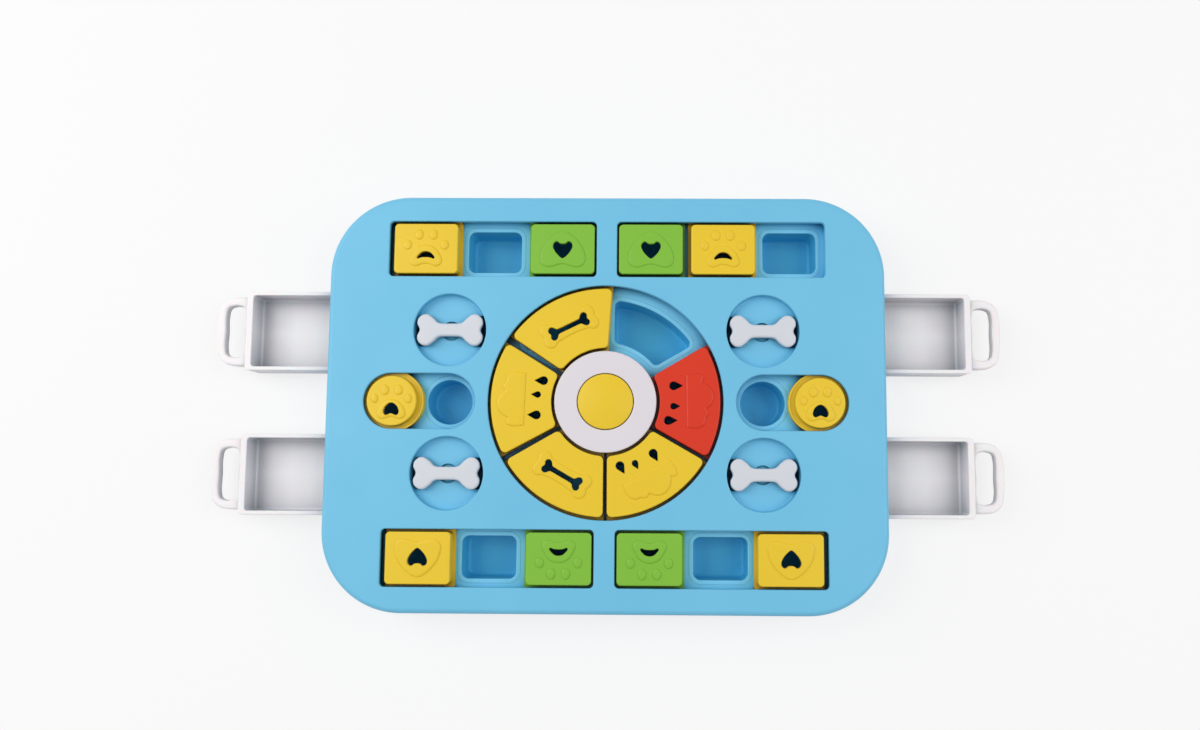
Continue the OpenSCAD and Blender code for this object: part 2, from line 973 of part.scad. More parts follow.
// Hollow cover: flange on the tray with a rail under each deck lip, cap standing through the slot
module straight_cover(shade, centre, flipped, heart_cover)
  color(shade)
    translate(centre)
      rotate(flipped ? 180 : 0)
        difference() {
          union() {
            translate([0, 0, flange_z])
              linear_extrude(cover_wall)
                rounded_rect(flange_l, flange_w, slot_r);
            translate([0, 0, flange_z])
              linear_extrude(flange_top - flange_z)
                difference() {
                  rounded_rect(flange_l, flange_w, slot_r);
                  square([flange_l + 2 * over, flange_w - 2 * rail_w], center = true);
                }
            translate([0, 0, flange_z])
              linear_extrude(cap_top - relief_h - flange_z)
                rounded_rect(cap_l, cap_w, cap_r);
            translate([0, 0, cap_top - relief_h - slit])
              linear_extrude(relief_h + slit)
                if (heart_cover) heart_relief();
                else paw_relief();
          }
          translate([0, 0, flange_z - over])
            linear_extrude(cap_top - relief_h - cover_wall - flange_z + over)
              rounded_rect(cap_l - 2 * cover_wall, cap_w - 2 * cover_wall, cap_r);
          translate([0, 0, cap_top - 4 * cover_wall])
            linear_extrude(5 * cover_wall)
              if (heart_cover) heart_hole();
              else paw_hole();
        }

outer_rest = track_end - outer_play;
inner_rest = track_end - inner_play;

module cover_rear_left_yellow()
  straight_cover(YELLOW, [-track_x - outer_rest, track_y, 0], false, false);

module cover_rear_left_green()
  straight_cover(GREEN, [-track_x + inner_rest, track_y, 0], false, true);

module cover_rear_right_green()
  straight_cover(GREEN, [track_x - inner_rest, track_y, 0], false, true);

module cover_rear_right_yellow()
  straight_cover(YELLOW, [track_x + middle_play, track_y, 0], false, false);

module cover_front_left_yellow()
  straight_cover(YELLOW, [-track_x - outer_rest, -track_y, 0], true, true);

module cover_front_left_green()
  straight_cover(GREEN, [-track_x + inner_rest, -track_y, 0], true, false);

module cover_front_right_green()
  straight_cover(GREEN, [track_x - inner_rest, -track_y, 0], true, false);

module cover_front_right_yellow()
  straight_cover(YELLOW, [track_x + outer_rest, -track_y, 0], true, true);

module round_cover(side)
  color(YELLOW)
    translate([side * (round_out_x - round_play), 0, 0])
      difference() {
        union() {
          translate([0, 0, flange_z])
            cylinder(r = round_flange_r, h = cover_wall);
          translate([0, 0, flange_z])
            linear_extrude(flange_top - flange_z)
              difference() {
                circle(round_flange_r);
                circle(round_flange_r - rail_w);
              }
          translate([0, 0, flange_z])
            cylinder(r = round_cap_r, h = cap_top - relief_h - flange_z);
          translate([0, 0, cap_top - relief_h - slit])
            linear_extrude(relief_h + slit)
              round_paw();
        }
        translate([0, 0, flange_z - over])
          cylinder(r = round_cap_r - cover_wall, h = cap_top - relief_h - cover_wall - flange_z + over);
        translate([0, -round_cap_r * 0.36, cap_top - 4 * cover_wall])
          linear_extrude(5 * cover_wall)
            rotate(180)
              heart(round_cap_r * 0.56);
      }

module round_paw() {
  for (x = [-1, 1]) {
    translate([x * round_cap_r * 0.24, round_cap_r * 0.4])
      circle(round_cap_r * 0.18);
    translate([x * round_cap_r * 0.63, round_cap_r * 0.06])
      circle(round_cap_r * 0.17);
  }
  translate([0, -round_cap_r * 0.36])
    circle(round_cap_r * 0.46);
}

module round_cover_left() round_cover(-1);
module round_cover_right() round_cover(1);

// ---------------------------------------------------------------- wheel covers

wheel_mid_r = (wheel_cap_in + wheel_cap_out) / 2;
// The bone pattern: its relief and its hole
bone_relief_l = 41;
bone_relief_w = 18;
bone_relief_bar = 12;
bone_relief_r = 5;
bone_hole_l = 29.5;
bone_hole_w = 9.8;
bone_hole_bar = 3.6;
bone_hole_r = 2.6;

module wheel_bone(length, end_w, bar, knob_r)
  translate([wheel_mid_r, 0])
    rotate(90)
      bone_shape(length, end_w, bar, knob_r);

// A slice of melon: straight inner edge and a scalloped rind
module melon_relief() {
  translate([melon_x, -melon_w / 2])
    square([melon_flesh, melon_w]);
  for (s = scallops)
    translate([melon_x + s[0], s[1]])
      circle(s[2]);
}

melon_x = wheel_mid_r - 2.5;
melon_w = 35;
melon_flesh = 8;
// The scallops of the rind: [place beyond the straight edge, place along it, radius]
scallops = [[6, 11.6, 5.5], [11, 3, 7.5], [9.5, -6.5, 6], [5.5, -13, 4.8]];
// The pips: [radius, angle, size]
pips = [[48.6, 12.5, 2.9], [47.2, -4.4, 2.2], [45.2, -17, 2.9]];

module pip_holes()
  for (p = pips)
    translate(p[0] * [cos(p[1]), sin(p[1])])
      pip(p[2]);

module wheel_cover(shade, turn, melon)
  color(shade)
    rotate(turn)
      difference() {
        union() {
          translate([0, 0, flange_z])
            linear_extrude(cover_wall)
              ring_sector(wheel_flange_in, wheel_flange_r, flange_gap, sector_flange_r);
          translate([0, 0, flange_z])
            linear_extrude(flange_top - flange_z)
              difference() {
                ring_sector(wheel_flange_in, wheel_flange_r, flange_gap, sector_flange_r);
                difference() {
                  circle(wheel_flange_r - rail_w, $fn = 180);
                  circle(hub_r - run_gap, $fn = 180);
                }
              }
          translate([0, 0, flange_z])
            linear_extrude(cap_top - relief_h - flange_z)
              ring_sector(wheel_cap_in, wheel_cap_out, spoke_gap / 2, sector_cap_r);
          translate([0, 0, cap_top - relief_h - slit])
            linear_extrude(relief_h + slit)
              if (melon) melon_relief();
              else wheel_bone(bone_relief_l, bone_relief_w, bone_relief_bar, bone_relief_r);
        }
        translate([0, 0, flange_z - over])
          linear_extrude(cap_top - relief_h - cover_wall - flange_z + over)
            ring_sector(wheel_cap_in + cover_wall, wheel_cap_out - cover_wall,
                        spoke_gap / 2 + cover_wall, sector_cap_r);
        translate([0, 0, cap_top - 4 * cover_wall])
          linear_extrude(5 * cover_wall)
            if (melon) pip_holes();
            else wheel_bone(bone_hole_l, bone_hole_w, bone_hole_bar, bone_hole_r);
      }

// Where the covers stand round the wheel, in degrees
red_turn = 0.7;
bone_rear_turn = 116.2;
melon_left_turn = 178.4;
bone_front_turn = 240;
melon_front_turn = 300.3;

module wheel_cover_bone_rear() wheel_cover(YELLOW, bone_rear_turn, false);
module wheel_cover_melon_left() wheel_cover(YELLOW, melon_left_turn, true);
module wheel_cover_bone_front() wheel_cover(YELLOW, bone_front_turn, false);
module wheel_cover_melon_front() wheel_cover(YELLOW, melon_front_turn, true);
module wheel_cover_red() wheel_cover(RED, red_turn, true);

// ---------------------------------------------------------------- turning bones

washer_t = 1.2;
washer_z = bone_floor_z - run_gap - washer_t;

module bone(side_x, side_y)
  color(WHITE)
    translate([side_x * bone_x, side_y * bone_y, 0])
      difference() {
        union() {
          translate([0, 0, bone_floor_top + run_gap])
            linear_extrude(bone_t)
              flared_bone(bone_l, bone_end_w, bone_waist, bone_knob_r);
          translate([0, 0, bone_floor_z - run_gap])
            cylinder(r = pin_r, h = bone_floor_t + 2 * run_gap + slit);
        }
        translate([0, 0, bone_floor_z - run_gap - over])
          cylinder(r = screw_r, h = over + bone_floor_t + 2 * run_gap + bone_t - pin_roof);
      }

// Washer and screw that hold a bone down from below
module bone_pivot(side_x, side_y)
  color(STEEL)
    translate([side_x * bone_x, side_y * bone_y, washer_z]) {
      cylinder(r = pin_r + 2, h = washer_t);
      pan_screw(screw_head_t, washer_t + bone_floor_t + bone_t - 2 * pin_roof);
    }

module bone_rear_left() bone(-1, 1);
module bone_rear_right() bone(1, 1);
module bone_front_left() bone(-1, -1);
module bone_front_right() bone(1, -1);
module bone_pivot_rear_left() bone_pivot(-1, 1);
module bone_pivot_rear_right() bone_pivot(1, 1);
module bone_pivot_front_left() bone_pivot(-1, -1);
module bone_pivot_front_right() bone_pivot(1, -1);

// ---------------------------------------------------------------- drawers

// A drawer that opens towards +X, its middle on the X axis
module drawer_body() {
  h = drawer_top - drawer_z;
  difference() {
    translate([drawer_back_x, 0, drawer_z])
      linear_extrude(h)
        drawer_plan(0);
    translate([drawer_back_x, 0, drawer_z + drawer_wall])
      linear_extrude(h)
        drawer_plan(drawer_wall);
  }
  for (y = [-1, 1])
    translate([
      drawer_back_x + drawer_kept - lug_in,
      y * (drawer_w - lug_t) / 2,
      drawer_top + lug_h / 2 - slit
    ])
      cube([lug_l, lug_t, lug_h + 2 * slit], center = true);
  translate([drawer_front_x, 0, drawer_top - handle_down - handle_t])
    linear_extrude(handle_t)
      drawer_handle();
}

// Plan of the drawer from its back at x = 0, moved in by inset
module drawer_plan(inset) {
  front = inset == 0 ? 0 : drawer_front - drawer_wall;
  r = inset == 0 ? drawer_r : drawer_inner_r;
  translate([(drawer_l - front) / 2, 0])
    rounded_rect(drawer_l - front - 2 * inset, drawer_w - 2 * inset, r);
}

module drawer_handle()
  difference() {
    translate([(handle_reach - handle_root) / 2, 0])
      rounded_rect(handle_reach + handle_root, handle_w, handle_r);
    translate([-2 * handle_root - slit, -handle_w])
      square([2 * handle_root, 2 * handle_w]);
    translate([(handle_reach - handle_bar + handle_foot) / 2, 0])
      rounded_rect(handle_reach - handle_bar - handle_foot, handle_w - 2 * handle_bar - 1, handle_hole_r);
  }

module drawer(side_x, side_y)
  color(FROSTED)
    translate([0, side_y * drawer_y, 0])
      rotate(side_x > 0 ? 0 : 180)
        drawer_body();

module drawer_rear_left() drawer(-1, 1);
module drawer_rear_right() drawer(1, 1);
module drawer_front_left() drawer(-1, -1);
module drawer_front_right() drawer(1, -1);

// ---------------------------------------------------------------- nodes

module tray_rear_left() straight_tray(-1, 1);
module tray_rear_right() straight_tray(1, 1);
module tray_front_left() straight_tray(-1, -1);
module tray_front_right() straight_tray(1, -1);
module round_tray_left() round_tray(-1);
module round_tray_right() round_tray(1);
module wells_rear_left() straight_wells(-1, 1);
module wells_rear_right() straight_wells(1, 1);
module wells_front_left() straight_wells(-1, -1);
module wells_front_right() straight_wells(1, -1);
module round_wells_left() round_wells(-1);
module round_wells_right() round_wells(1);

top_deck();
bottom_plate();
rubber_feet();
base_screws();
tray_screws();
tray_rear_left();
tray_rear_right();
tray_front_left();
tray_front_right();
wells_rear_left();
wells_rear_right();
wells_front_left();
wells_front_right();
round_tray_left();
round_tray_right();
round_wells_left();
round_wells_right();
wheel_tray();
wheel_wells();
hub_ring();
hub_ring_screws();
hub_button();
squeaker_bellows();
squeaker_reed();
cover_rear_left_yellow();
cover_rear_left_green();
cover_rear_right_green();
cover_rear_right_yellow();
cover_front_left_yellow();
cover_front_left_green();
cover_front_right_green();
cover_front_right_yellow();
round_cover_left();
round_cover_right();
wheel_cover_bone_rear();
wheel_cover_melon_left();
wheel_cover_bone_front();
wheel_cover_melon_front();
wheel_cover_red();
bone_rear_left();
bone_rear_right();
bone_front_left();
bone_front_right();
bone_pivot_rear_left();
bone_pivot_rear_right();
bone_pivot_front_left();
bone_pivot_front_right();
drawer_rear_left();
drawer_rear_right();
drawer_front_left();
drawer_front_right();
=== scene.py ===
"""Dog puzzle feeder: the finished surfaces of the board, its covers, bones and drawers.

Sizes are millimetres in the frame of the model: X right, Y to the back, Z up from the floor.
"""
import math

import bmesh
import bpy
from mathutils import Matrix, Vector


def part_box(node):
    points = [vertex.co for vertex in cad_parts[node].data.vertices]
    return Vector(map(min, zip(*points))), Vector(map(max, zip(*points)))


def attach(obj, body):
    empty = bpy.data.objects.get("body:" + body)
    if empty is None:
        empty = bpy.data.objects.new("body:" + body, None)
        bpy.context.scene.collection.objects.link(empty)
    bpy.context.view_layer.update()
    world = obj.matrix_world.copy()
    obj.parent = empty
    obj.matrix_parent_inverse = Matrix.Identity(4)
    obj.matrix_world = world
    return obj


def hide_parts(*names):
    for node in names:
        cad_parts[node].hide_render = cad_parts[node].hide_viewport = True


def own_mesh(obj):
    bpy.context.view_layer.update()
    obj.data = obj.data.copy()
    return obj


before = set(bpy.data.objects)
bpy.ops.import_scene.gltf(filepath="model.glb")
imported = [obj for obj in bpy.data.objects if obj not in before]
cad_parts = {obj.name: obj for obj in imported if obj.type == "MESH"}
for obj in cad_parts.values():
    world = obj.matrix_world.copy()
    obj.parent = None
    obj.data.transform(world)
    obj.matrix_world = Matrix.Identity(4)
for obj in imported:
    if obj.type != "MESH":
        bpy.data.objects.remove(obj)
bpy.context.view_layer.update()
bpy.ops.object.select_all(action="DESELECT")

# ---------------------------------------------------------------- sizes

MM = 0.001
ROUND_STEPS = 96
WHEEL_STEPS = 180
POST_STEPS = 32
HOLE_STEPS = 24
OVER = 1.0            # how far a cutter starts before what it cuts
SINK = 0.5            # how deep a piece starts inside the one it joins
NEAR = 0.01           # places nearer than this count as the same
SEAM = 0.004          # points nearer than this are merged

# Heights
PLATE_Z, PLATE_TOP = 1.5, 4.0
CUP_Z, CUP_FLOOR = 4.3, 6.1
SHEET_Z, LEDGE_Z = 26.0, 28.0
FLANGE_Z, FLANGE_TOP = 28.3, 34.6
TROUGH_Z = 30.1       # floor of the trough between a flange's rails
UNDER_DECK, DECK_Z = 35.0, 38.0
CAP_Z = 38.6
RELIEF_Z = 39.5

# Board and bottom plate
CORNERS = [(x, y) for x in (-1, 1) for y in (-1, 1)]
BOARD_L, BOARD_W, CORNER_R, EDGE_R = 390.0, 291.0, 56.0, 4.0
WALL = 2.5
GUIDE = 1.8           # walls round the hollows that the flanges run in
RIM = 0.9             # rounding of the openings' rims in the deck
PLATE_GAP, PLATE_EDGE = 0.3, 0.4
RAIL_X, RAIL_L, RAIL_T, RAIL_TOP, RAIL_EDGE = 143.7, 85.6, 2.0, 10.0, 0.5
FOOT_R, FOOT_T, FOOT_EDGE = 9.0, 1.5, 0.5

# Straight tracks, their wells and cups
TRACK_X, TRACK_Y = 80.2, 107.75
TRACK_PITCH = 49.333
SLOT_L, SLOT_W, SLOT_R = 146.0, 39.3, 3.0
POCKET_L, POCKET_W = 148.0, 43.9
WELL_L, WELL_W, WELL_R = 37.8, 29.5, 5.0
WELL_WALL, WELL_RIM = 1.8, 0.8
CUP_RIM, CUP_RIM_T, CUP_RIM_EDGE = 1.2, 1.0, 0.1
CUP_GAP = 0.07
CUP_NECK = 0.4        # the cup's body ends this far below the top of its rim
CUP_FOOT_R, CUP_FLOOR_R = 3.4, 2.5
SHEET_EDGE = 0.75

# Round tracks
ROUND_IN, ROUND_OUT = 109.9, 148.9
ROUND_SLOT_R, ROUND_POCKET_R, ROUND_WELL_R = 19.4, 21.7, 15.7
END_GAP = 0.02        # keeps a round end's two bevels apart

# Wheel and hub. A sector's sizes are inner and outer radius, side gap and corner radius
WHEEL_R, WHEEL_POCKET_R = 81.7, 84.0
WHEEL_WELL = (43.0, 73.5, 5.5, 4.0)
SECTOR_CAP = (37.5, 79.5, 1.15, 3.5)
SECTOR_FLANGE = (33.5, 83.7, 0.9, 1.0)
SECTOR_MID_R, SECTOR_INNER_RAIL = 58.5, 1.5
SECTOR_STEPS = 14
HUB_BOSS_R, HUB_BORE_R, HUB_STOP_R, HUB_STOP_Z = 33.2, 22.8, 20.4, 29.4
HUB_SCREW_R, HUB_SCREW_SINK, AIR_HOLE_R = 28.0, 1.6, 2.0
RING_R, RING_BORE_R, RING_TOP, RING_EDGE = 35.3, 19.6, 40.0, 0.9
BUTTON_R, BUTTON_Z, BUTTON_TOP, BUTTON_EDGE = 19.2, 34.0, 40.3, 0.8
BUTTON_FLANGE = (22.4, 32.6, FLANGE_TOP)
BUTTON_HOLLOW = (16.8, 32.0, 37.9)
DOME_H = 2.0
DOME_PARTS = (0.85, 0.7, 0.55, 0.4, 0.25, 0.1)
BELLOWS_Z, BELLOWS_TOP, BELLOWS_SKIN, BELLOWS_END = 6.1, 37.6, 1.1, 1.5
BELLOWS_R, BELLOWS_WAIST_R, BELLOWS_HOLE_R = 15.2, 11.4, 4.05
FOLDS, FOLD_R, FOLD_STEPS = 6, 0.45, 72

# Bones, their recesses, and the chutes under their ends
BONE_X, BONE_Y = 109.307, 50.0
BONE_Z, BONE_TOP, BONE_EDGE = 32.3, 38.3, 1.6
PIN_R, PIN_Z, PIN_TOP, PIN_SCREW_TOP = 4.0, 28.7, 34.0, 36.7
PIN_BORE_R, DISH_R, DISH_D = 4.1, 6.7, 1.8
RECESS_R, RECESS_Z, RECESS_FLOOR_T, RECESS_WALL = 25.4, 32.0, 3.0, 2.0
RECESS_ROUND, RECESS_EDGE = 2.2, 0.3
FLOOR_CUT, FLOOR_CUT_TOP = 26.0, 35.0  # reach of the cutters through a recess's floor
CHUTE_W, CHUTE_R, CHUTE_INSET, BRIDGE_L = 22.0, 2.5, 0.3, 33.1

# Covers
CAP_L, CAP_W, CAP_R = 44.8, 35.5, 3.0
CAP_EDGE = 0.9        # rounding of the caps' top edges
COVER_WALL = 1.8
FLANGE_L, FLANGE_W, FLANGE_EDGE = 48.4, 43.3, 0.5
RAIL_W = 1.7
ROUND_CAP_R, ROUND_FLANGE_R = 17.4, 21.4
ROUND_RAIL_W, ROUND_STEP = 1.1, 0.6
HOLE_EDGE = 0.3       # chamfer of the patterns' holes
HOLE_CUT = 6.0        # reach of their cutters below the reliefs
RELIEF_SHOULDER, RELIEF_SINK = 1.7, 0.9

# Ears of the trays, screws and posts
EAR_R, EAR_TAB, EAR_REACH = 4.5, 2.5, 6.3
EAR_NEARER = 1.0      # ears at straight sides and at the ends of tracks stand nearer
SCREW_HOLE_R, SCREW_R, HEAD_HOLE_R = 1.7, 1.3, 3.2
POST_R, POST_HOLE = 4.5, 12.0
BOSS_R, BOSS_HOLE = 3.8, 1.5
POSTS = [(x * 172.94, y * 123.44) for x, y in CORNERS]
POSTS += [(0, 137.5), (0, -137.5), (187, 0), (-187, 0)]

# Drawers
DRAWER_Y, DRAWER_L, DRAWER_W = 51.2, 107.0, 57.0
DRAWER_Z, DRAWER_TOP, DRAWER_FRONT_X = 4.3, 23.8, 259.0
DRAWER_WALL, DRAWER_FRONT_T = 2.8, 4.5
DRAWER_R, DRAWER_FOOT_R, DRAWER_RIM = 3.0, 1.2, 0.6
DRAWER_INNER_R, DRAWER_FLOOR_R = 2.0, 1.8
HANDLE_Z, HANDLE_TOP, HANDLE_EDGE = 13.8, 20.8, 1.5
LUG_X, LUG_L, LUG_T, LUG_H = 17.0, 6.0, 2.0, 1.8
WINDOW_GAP = 0.4

# ---------------------------------------------------------------- modelling tools


def choose(piece):
    bpy.ops.object.select_all(action="DESELECT")
    piece.select_set(True)
    bpy.context.view_layer.objects.active = piece
    return piece


def discard(*pieces):
    for piece in pieces:
        bpy.data.objects.remove(piece)


def settle(piece):
    """Put a piece's place, turn and size into its mesh."""
    choose(piece)
    bpy.ops.object.transform_apply(location=True, rotation=True, scale=True)
    return piece


def close_seams(piece):
    """Merge doubled points and turn the faces outwards."""
    choose(piece)
    bpy.ops.object.mode_set(mode="EDIT")
    bpy.ops.mesh.select_all(action="SELECT")
    bpy.ops.mesh.remove_doubles(threshold=SEAM * MM)
    bpy.ops.mesh.normals_make_consistent(inside=False)
    bpy.ops.object.mode_set(mode="OBJECT")
    return piece


def level(z):
    """A test for edges that lie at one height."""
    return lambda a, b: abs(a.z - z) < NEAR and abs(b.z - z) < NEAR


def upright(a, b):
    return abs(a.x - b.x) < NEAR and abs(a.y - b.y) < NEAR


def soften(piece, test, width, steps=3, sharper_than=30.0):
    """Round the sharp edges whose two ends pass a test."""
    choose(piece)
    bpy.ops.object.mode_set(mode="EDIT")
    bpy.ops.mesh.select_mode(type="EDGE")
    bpy.ops.mesh.select_all(action="DESELECT")
    mesh = bmesh.from_edit_mesh(piece.data)
    sharp = math.radians(sharper_than)
    for edge in mesh.edges:
        ends = [vertex.co / MM for vertex in edge.verts]
        if edge.is_convex and test(*ends) and edge.calc_face_angle(0.0) > sharp:
            edge.select_set(True)
    bmesh.update_edit_mesh(piece.data)
    bpy.ops.mesh.bevel(
        offset=width * MM, segments=steps, affect="EDGES", loop_slide=False, clamp_overlap=False)
    bpy.ops.object.mode_set(mode="OBJECT")
    return piece


def block(low, high, corner=0.0, steps=8):
    """A box between two corners, with its upright edges rounded."""
    middle_place = [(a + b) / 2 * MM for a, b in zip(low, high)]
    bpy.ops.mesh.primitive_cube_add(size=MM, location=middle_place)
    piece = bpy.context.active_object
    piece.scale = [b - a for a, b in zip(low, high)]
    settle(piece)
    if corner:
        soften(piece, upright, corner, steps)
    return piece


def slab(x, y, length, width, z0, z1, corner=0.0, steps=8):
    low = (x - length / 2, y - width / 2, z0)
    high = (x + length / 2, y + width / 2, z1)
    return block(low, high, corner, steps)


def disc(x, y, radius, z0, z1, steps=ROUND_STEPS):
    bpy.ops.mesh.primitive_cylinder_add(
        vertices=steps, radius=radius * MM, depth=(z1 - z0) * MM,
        location=(x * MM, y * MM, (z0 + z1) / 2 * MM))
    return settle(bpy.context.active_object)


def discs(places, radius, z0, z1, steps):
    """One object of equal discs at places (x, y, ...)."""
    return bundle([disc(place[0], place[1], radius, z0, z1, steps) for place in places])


def long_disc(x0, x1, radius, z0, z1):
    """A slab with round ends about two points on the X axis."""
    length, corner = x1 - x0 + 2 * radius, radius - END_GAP
    return slab((x0 + x1) / 2, 0, length, 2 * radius, z0, z1, corner, 24)


def combine(piece, other, operation):
    choose(piece)
    modifier = piece.modifiers.new("combine", "BOOLEAN")
    modifier.operation = operation
    modifier.solver = "MANIFOLD"
    modifier.object = other
    bpy.ops.object.modifier_apply(modifier=modifier.name)
    discard(other)
    return piece


def bundle(pieces):
    """Make one object of pieces that don't meet, so that they are combined in one step."""
    choose(pieces[0])
    for piece in pieces[1:]:
        piece.select_set(True)
    bpy.ops.object.join()
    return pieces[0]


def join(piece, *others):
    for other in others:
        combine(piece, other, "UNION")
    return piece


def carve(piece, *cutters):
    for cutter in cutters:
        combine(piece, cutter, "DIFFERENCE")
    return piece


def moved(piece, x=0.0, y=0.0, turn=0.0, flip_x=False, flip_y=False):
    """Turn a piece about the Z axis, mirror it where asked, then move it."""
    piece.scale = (-1 if flip_x else 1, -1 if flip_y else 1, 1)
    piece.rotation_euler.z = math.radians(turn)
    piece.location = (x * MM, y * MM, 0)
    settle(piece)
    if flip_x != flip_y:
        bpy.ops.object.mode_set(mode="EDIT")
        bpy.ops.mesh.select_all(action="SELECT")
        bpy.ops.mesh.normals_make_consistent(inside=False)
        bpy.ops.object.mode_set(mode="OBJECT")
    return piece


def twin(piece, **where):
    """A copy with its own mesh, turned and moved."""
    choose(piece)
    bpy.ops.object.duplicate()
    return moved(bpy.context.active_object, **where)


def spread(piece, places):
    """Copies of a piece at places (x, y, turn), as one object."""
    copies = bundle([twin(piece, x=x, y=y, turn=turn) for x, y, turn in places])
    discard(piece)
    return copies


def meshed(curve):
    """A piece whose mesh is that of a curve."""
    piece = bpy.data.objects.new(curve.name, curve)
    bpy.context.scene.collection.objects.link(piece)
    choose(piece)
    bpy.ops.object.convert(target="MESH")
    return piece


def outline(points, z0, z1, edge=0.0, steps=5, grown=0.0, edge_steps=2):
    """A slab between two heights whose plan is a smooth closed line through points (x, y).

    A point (x, y, "sharp") is a corner. edge rounds the slab's edges, grown moves its line
    outwards. A list of lines makes a slab with holes.
    """
    loops = points if isinstance(points[0], list) else [points]
    curve = bpy.data.curves.new("outline", "CURVE")
    curve.dimensions = "2D"
    curve.fill_mode = "BOTH"
    curve.resolution_u = steps
    curve.extrude = ((z1 - z0) / 2 - edge) * MM
    curve.bevel_depth = edge * MM
    curve.bevel_resolution = edge_steps
    curve.offset = (grown - edge) * MM
    for loop in loops:
        spline = curve.splines.new("BEZIER")
        spline.bezier_points.add(len(loop) - 1)
        spline.use_cyclic_u = True
        for knot, place in zip(spline.bezier_points, loop):
            knot.co = (place[0] * MM, place[1] * MM, 0)
            kind = "VECTOR" if len(place) > 2 else "AUTO"
            knot.handle_left_type = knot.handle_right_type = kind
    piece = meshed(curve)
    piece.location.z = (z0 + z1) / 2 * MM
    return close_seams(settle(piece))


def polar(radius, angle):
    """A point (x, y) from its distance and its direction in degrees."""
    return radius * math.cos(math.radians(angle)), radius * math.sin(math.radians(angle))


def arc(centre, radius, first, last, steps):
    """Corners of an outline on an arc, from one direction to another in degrees."""
    turns = [polar(radius, first + (last - first) * step / steps) for step in range(steps + 1)]
    return [(centre[0] + x, centre[1] + y, "sharp") for x, y in turns]


def sector(r_in, r_out, side, z0, z1, corner, steps=6):
    """A sixth of a ring about the X axis with round corners.

    Its sides are moved in from the two spoke lines at 30 degrees to the axis.
    """
    inner, outer = r_in + corner, r_out - corner
    turn_in, turn_out = [
        30 - math.degrees(math.asin((side + corner) / reach)) for reach in (inner, outer)]
    half = arc((0, 0), r_in, 0, turn_in, SECTOR_STEPS)[:-1]
    half += arc(polar(inner, turn_in), corner, turn_in + 180, 120, steps)
    half += arc(polar(outer, turn_out), corner, 120, turn_out, steps)
    half += arc((0, 0), r_out, turn_out, 0, SECTOR_STEPS)[1:]
    piece = outline(half + [(x, -y, kind) for x, y, kind in half[-2:0:-1]], z0, z1)
    bpy.ops.object.mode_set(mode="EDIT")
    bpy.ops.mesh.select_all(action="SELECT")
    bpy.ops.mesh.dissolve_limited(angle_limit=math.radians(0.5))
    bpy.ops.object.mode_set(mode="OBJECT")
    return piece


# ---------------------------------------------------------------- outlines


def both_sides(half):
    """Close a right half of a shape, listed from the top of its middle line to the bottom."""
    left = [(-point[0], *point[1:]) for point in reversed(half) if point[0] > 0]
    return half + left


def oval(x, y, rx, ry):
    turns = [polar(1, 45 * step) for step in range(8)]
    return [(x + rx * a, y + ry * b) for a, b in turns]


def toes(places):
    """The ovals above a paw's pad, from those of its right half."""
    return [oval(way * x, y, rx, ry) for x, y, rx, ry in places for way in (1, -1)]


def pip(radius, angle, size):
    """A drop, its round end towards the hub and its point outwards."""
    x, y = polar(radius, angle)
    half = [(-1.0, 0), (-0.72, 0.72), (0, 1.0), (0.9, 0.66)]
    drop = half + [(2.1, 0, "sharp")] + [(a, -b) for a, b in reversed(half[1:])]
    return [(x + a[0] * size, y + a[1] * size, *a[2:]) for a in drop]


def bone_line(length, width, bar, knob, notch):
    """The outline of a bone along X: a bar between two pairs of knobs."""
    end, top = length / 2, width / 2
    quarter = [
        (end - knob * 3.2, bar / 2),
        (end - knob * 2.35, bar / 2 + knob * 0.1),
        (end - knob * 1.75, top - knob * 0.42),
        (end - knob, top),
        (end - knob * 0.25, top - knob * 0.32),
        (end, top - knob)]
    lower = [(x, -y) for x, y in reversed(quarter)]
    right = [(0, bar / 2)] + quarter + [(end - notch, 0)] + lower
    return right + [(0, -bar / 2)] + [(-x, y) for x, y in reversed(right[1:])]


def across(line):
    """Turn an outline to lie across the middle of a wheel cover."""
    return [(SECTOR_MID_R - y, x) for x, y in line]


PAW_PAD = both_sides([
    (0, 2.6), (5.6, 1.0), (9.8, -4.2), (11.3, -9.6), (8.0, -12.8), (3.2, -11.6), (0, -11.0)])
PAW_MOUTH = both_sides([
    (0, -2.2), (2.8, -2.8), (4.9, -4.6), (6.3, -6.8), (5.8, -7.5), (3.4, -6.8), (0, -6.5)])
PAW_TOES = toes([(5.0, 10.0, 2.9, 3.8), (13.0, 2.6, 2.9, 3.6)])

HEART_PAD = both_sides([
    (0, 12.9), (4.0, 11.6), (8.2, 8.4), (11.6, 4.6), (14.3, 0.2), (15.7, -4.6), (15.8, -8.4),
    (14.4, -11.3), (11.6, -12.9), (8.4, -13.0), (4.6, -11.9), (0, -10.9)])
HEART_HOLE = both_sides([
    (0, 3.6), (2.0, 3.9), (3.9, 5.2), (6.0, 4.4), (6.9, 2.0), (5.9, -1.0), (3.6, -4.2),
    (0.3, -6.9)])

ROUND_PAD = both_sides([
    (0, 1.0), (5.5, -0.8), (9.0, -5.6), (9.8, -10.0), (6.5, -12.8), (3.0, -12.0), (0, -11.2)])
ROUND_HOLE = both_sides([
    (0, -1.4), (3.0, -2.7), (5.1, -5.8), (5.4, -8.3), (3.8, -10.1), (1.7, -9.5), (0, -8.9)])
ROUND_TOES = toes([(4.8, 7.5, 2.9, 3.7), (11.7, 1.5, 2.4, 3.3)])

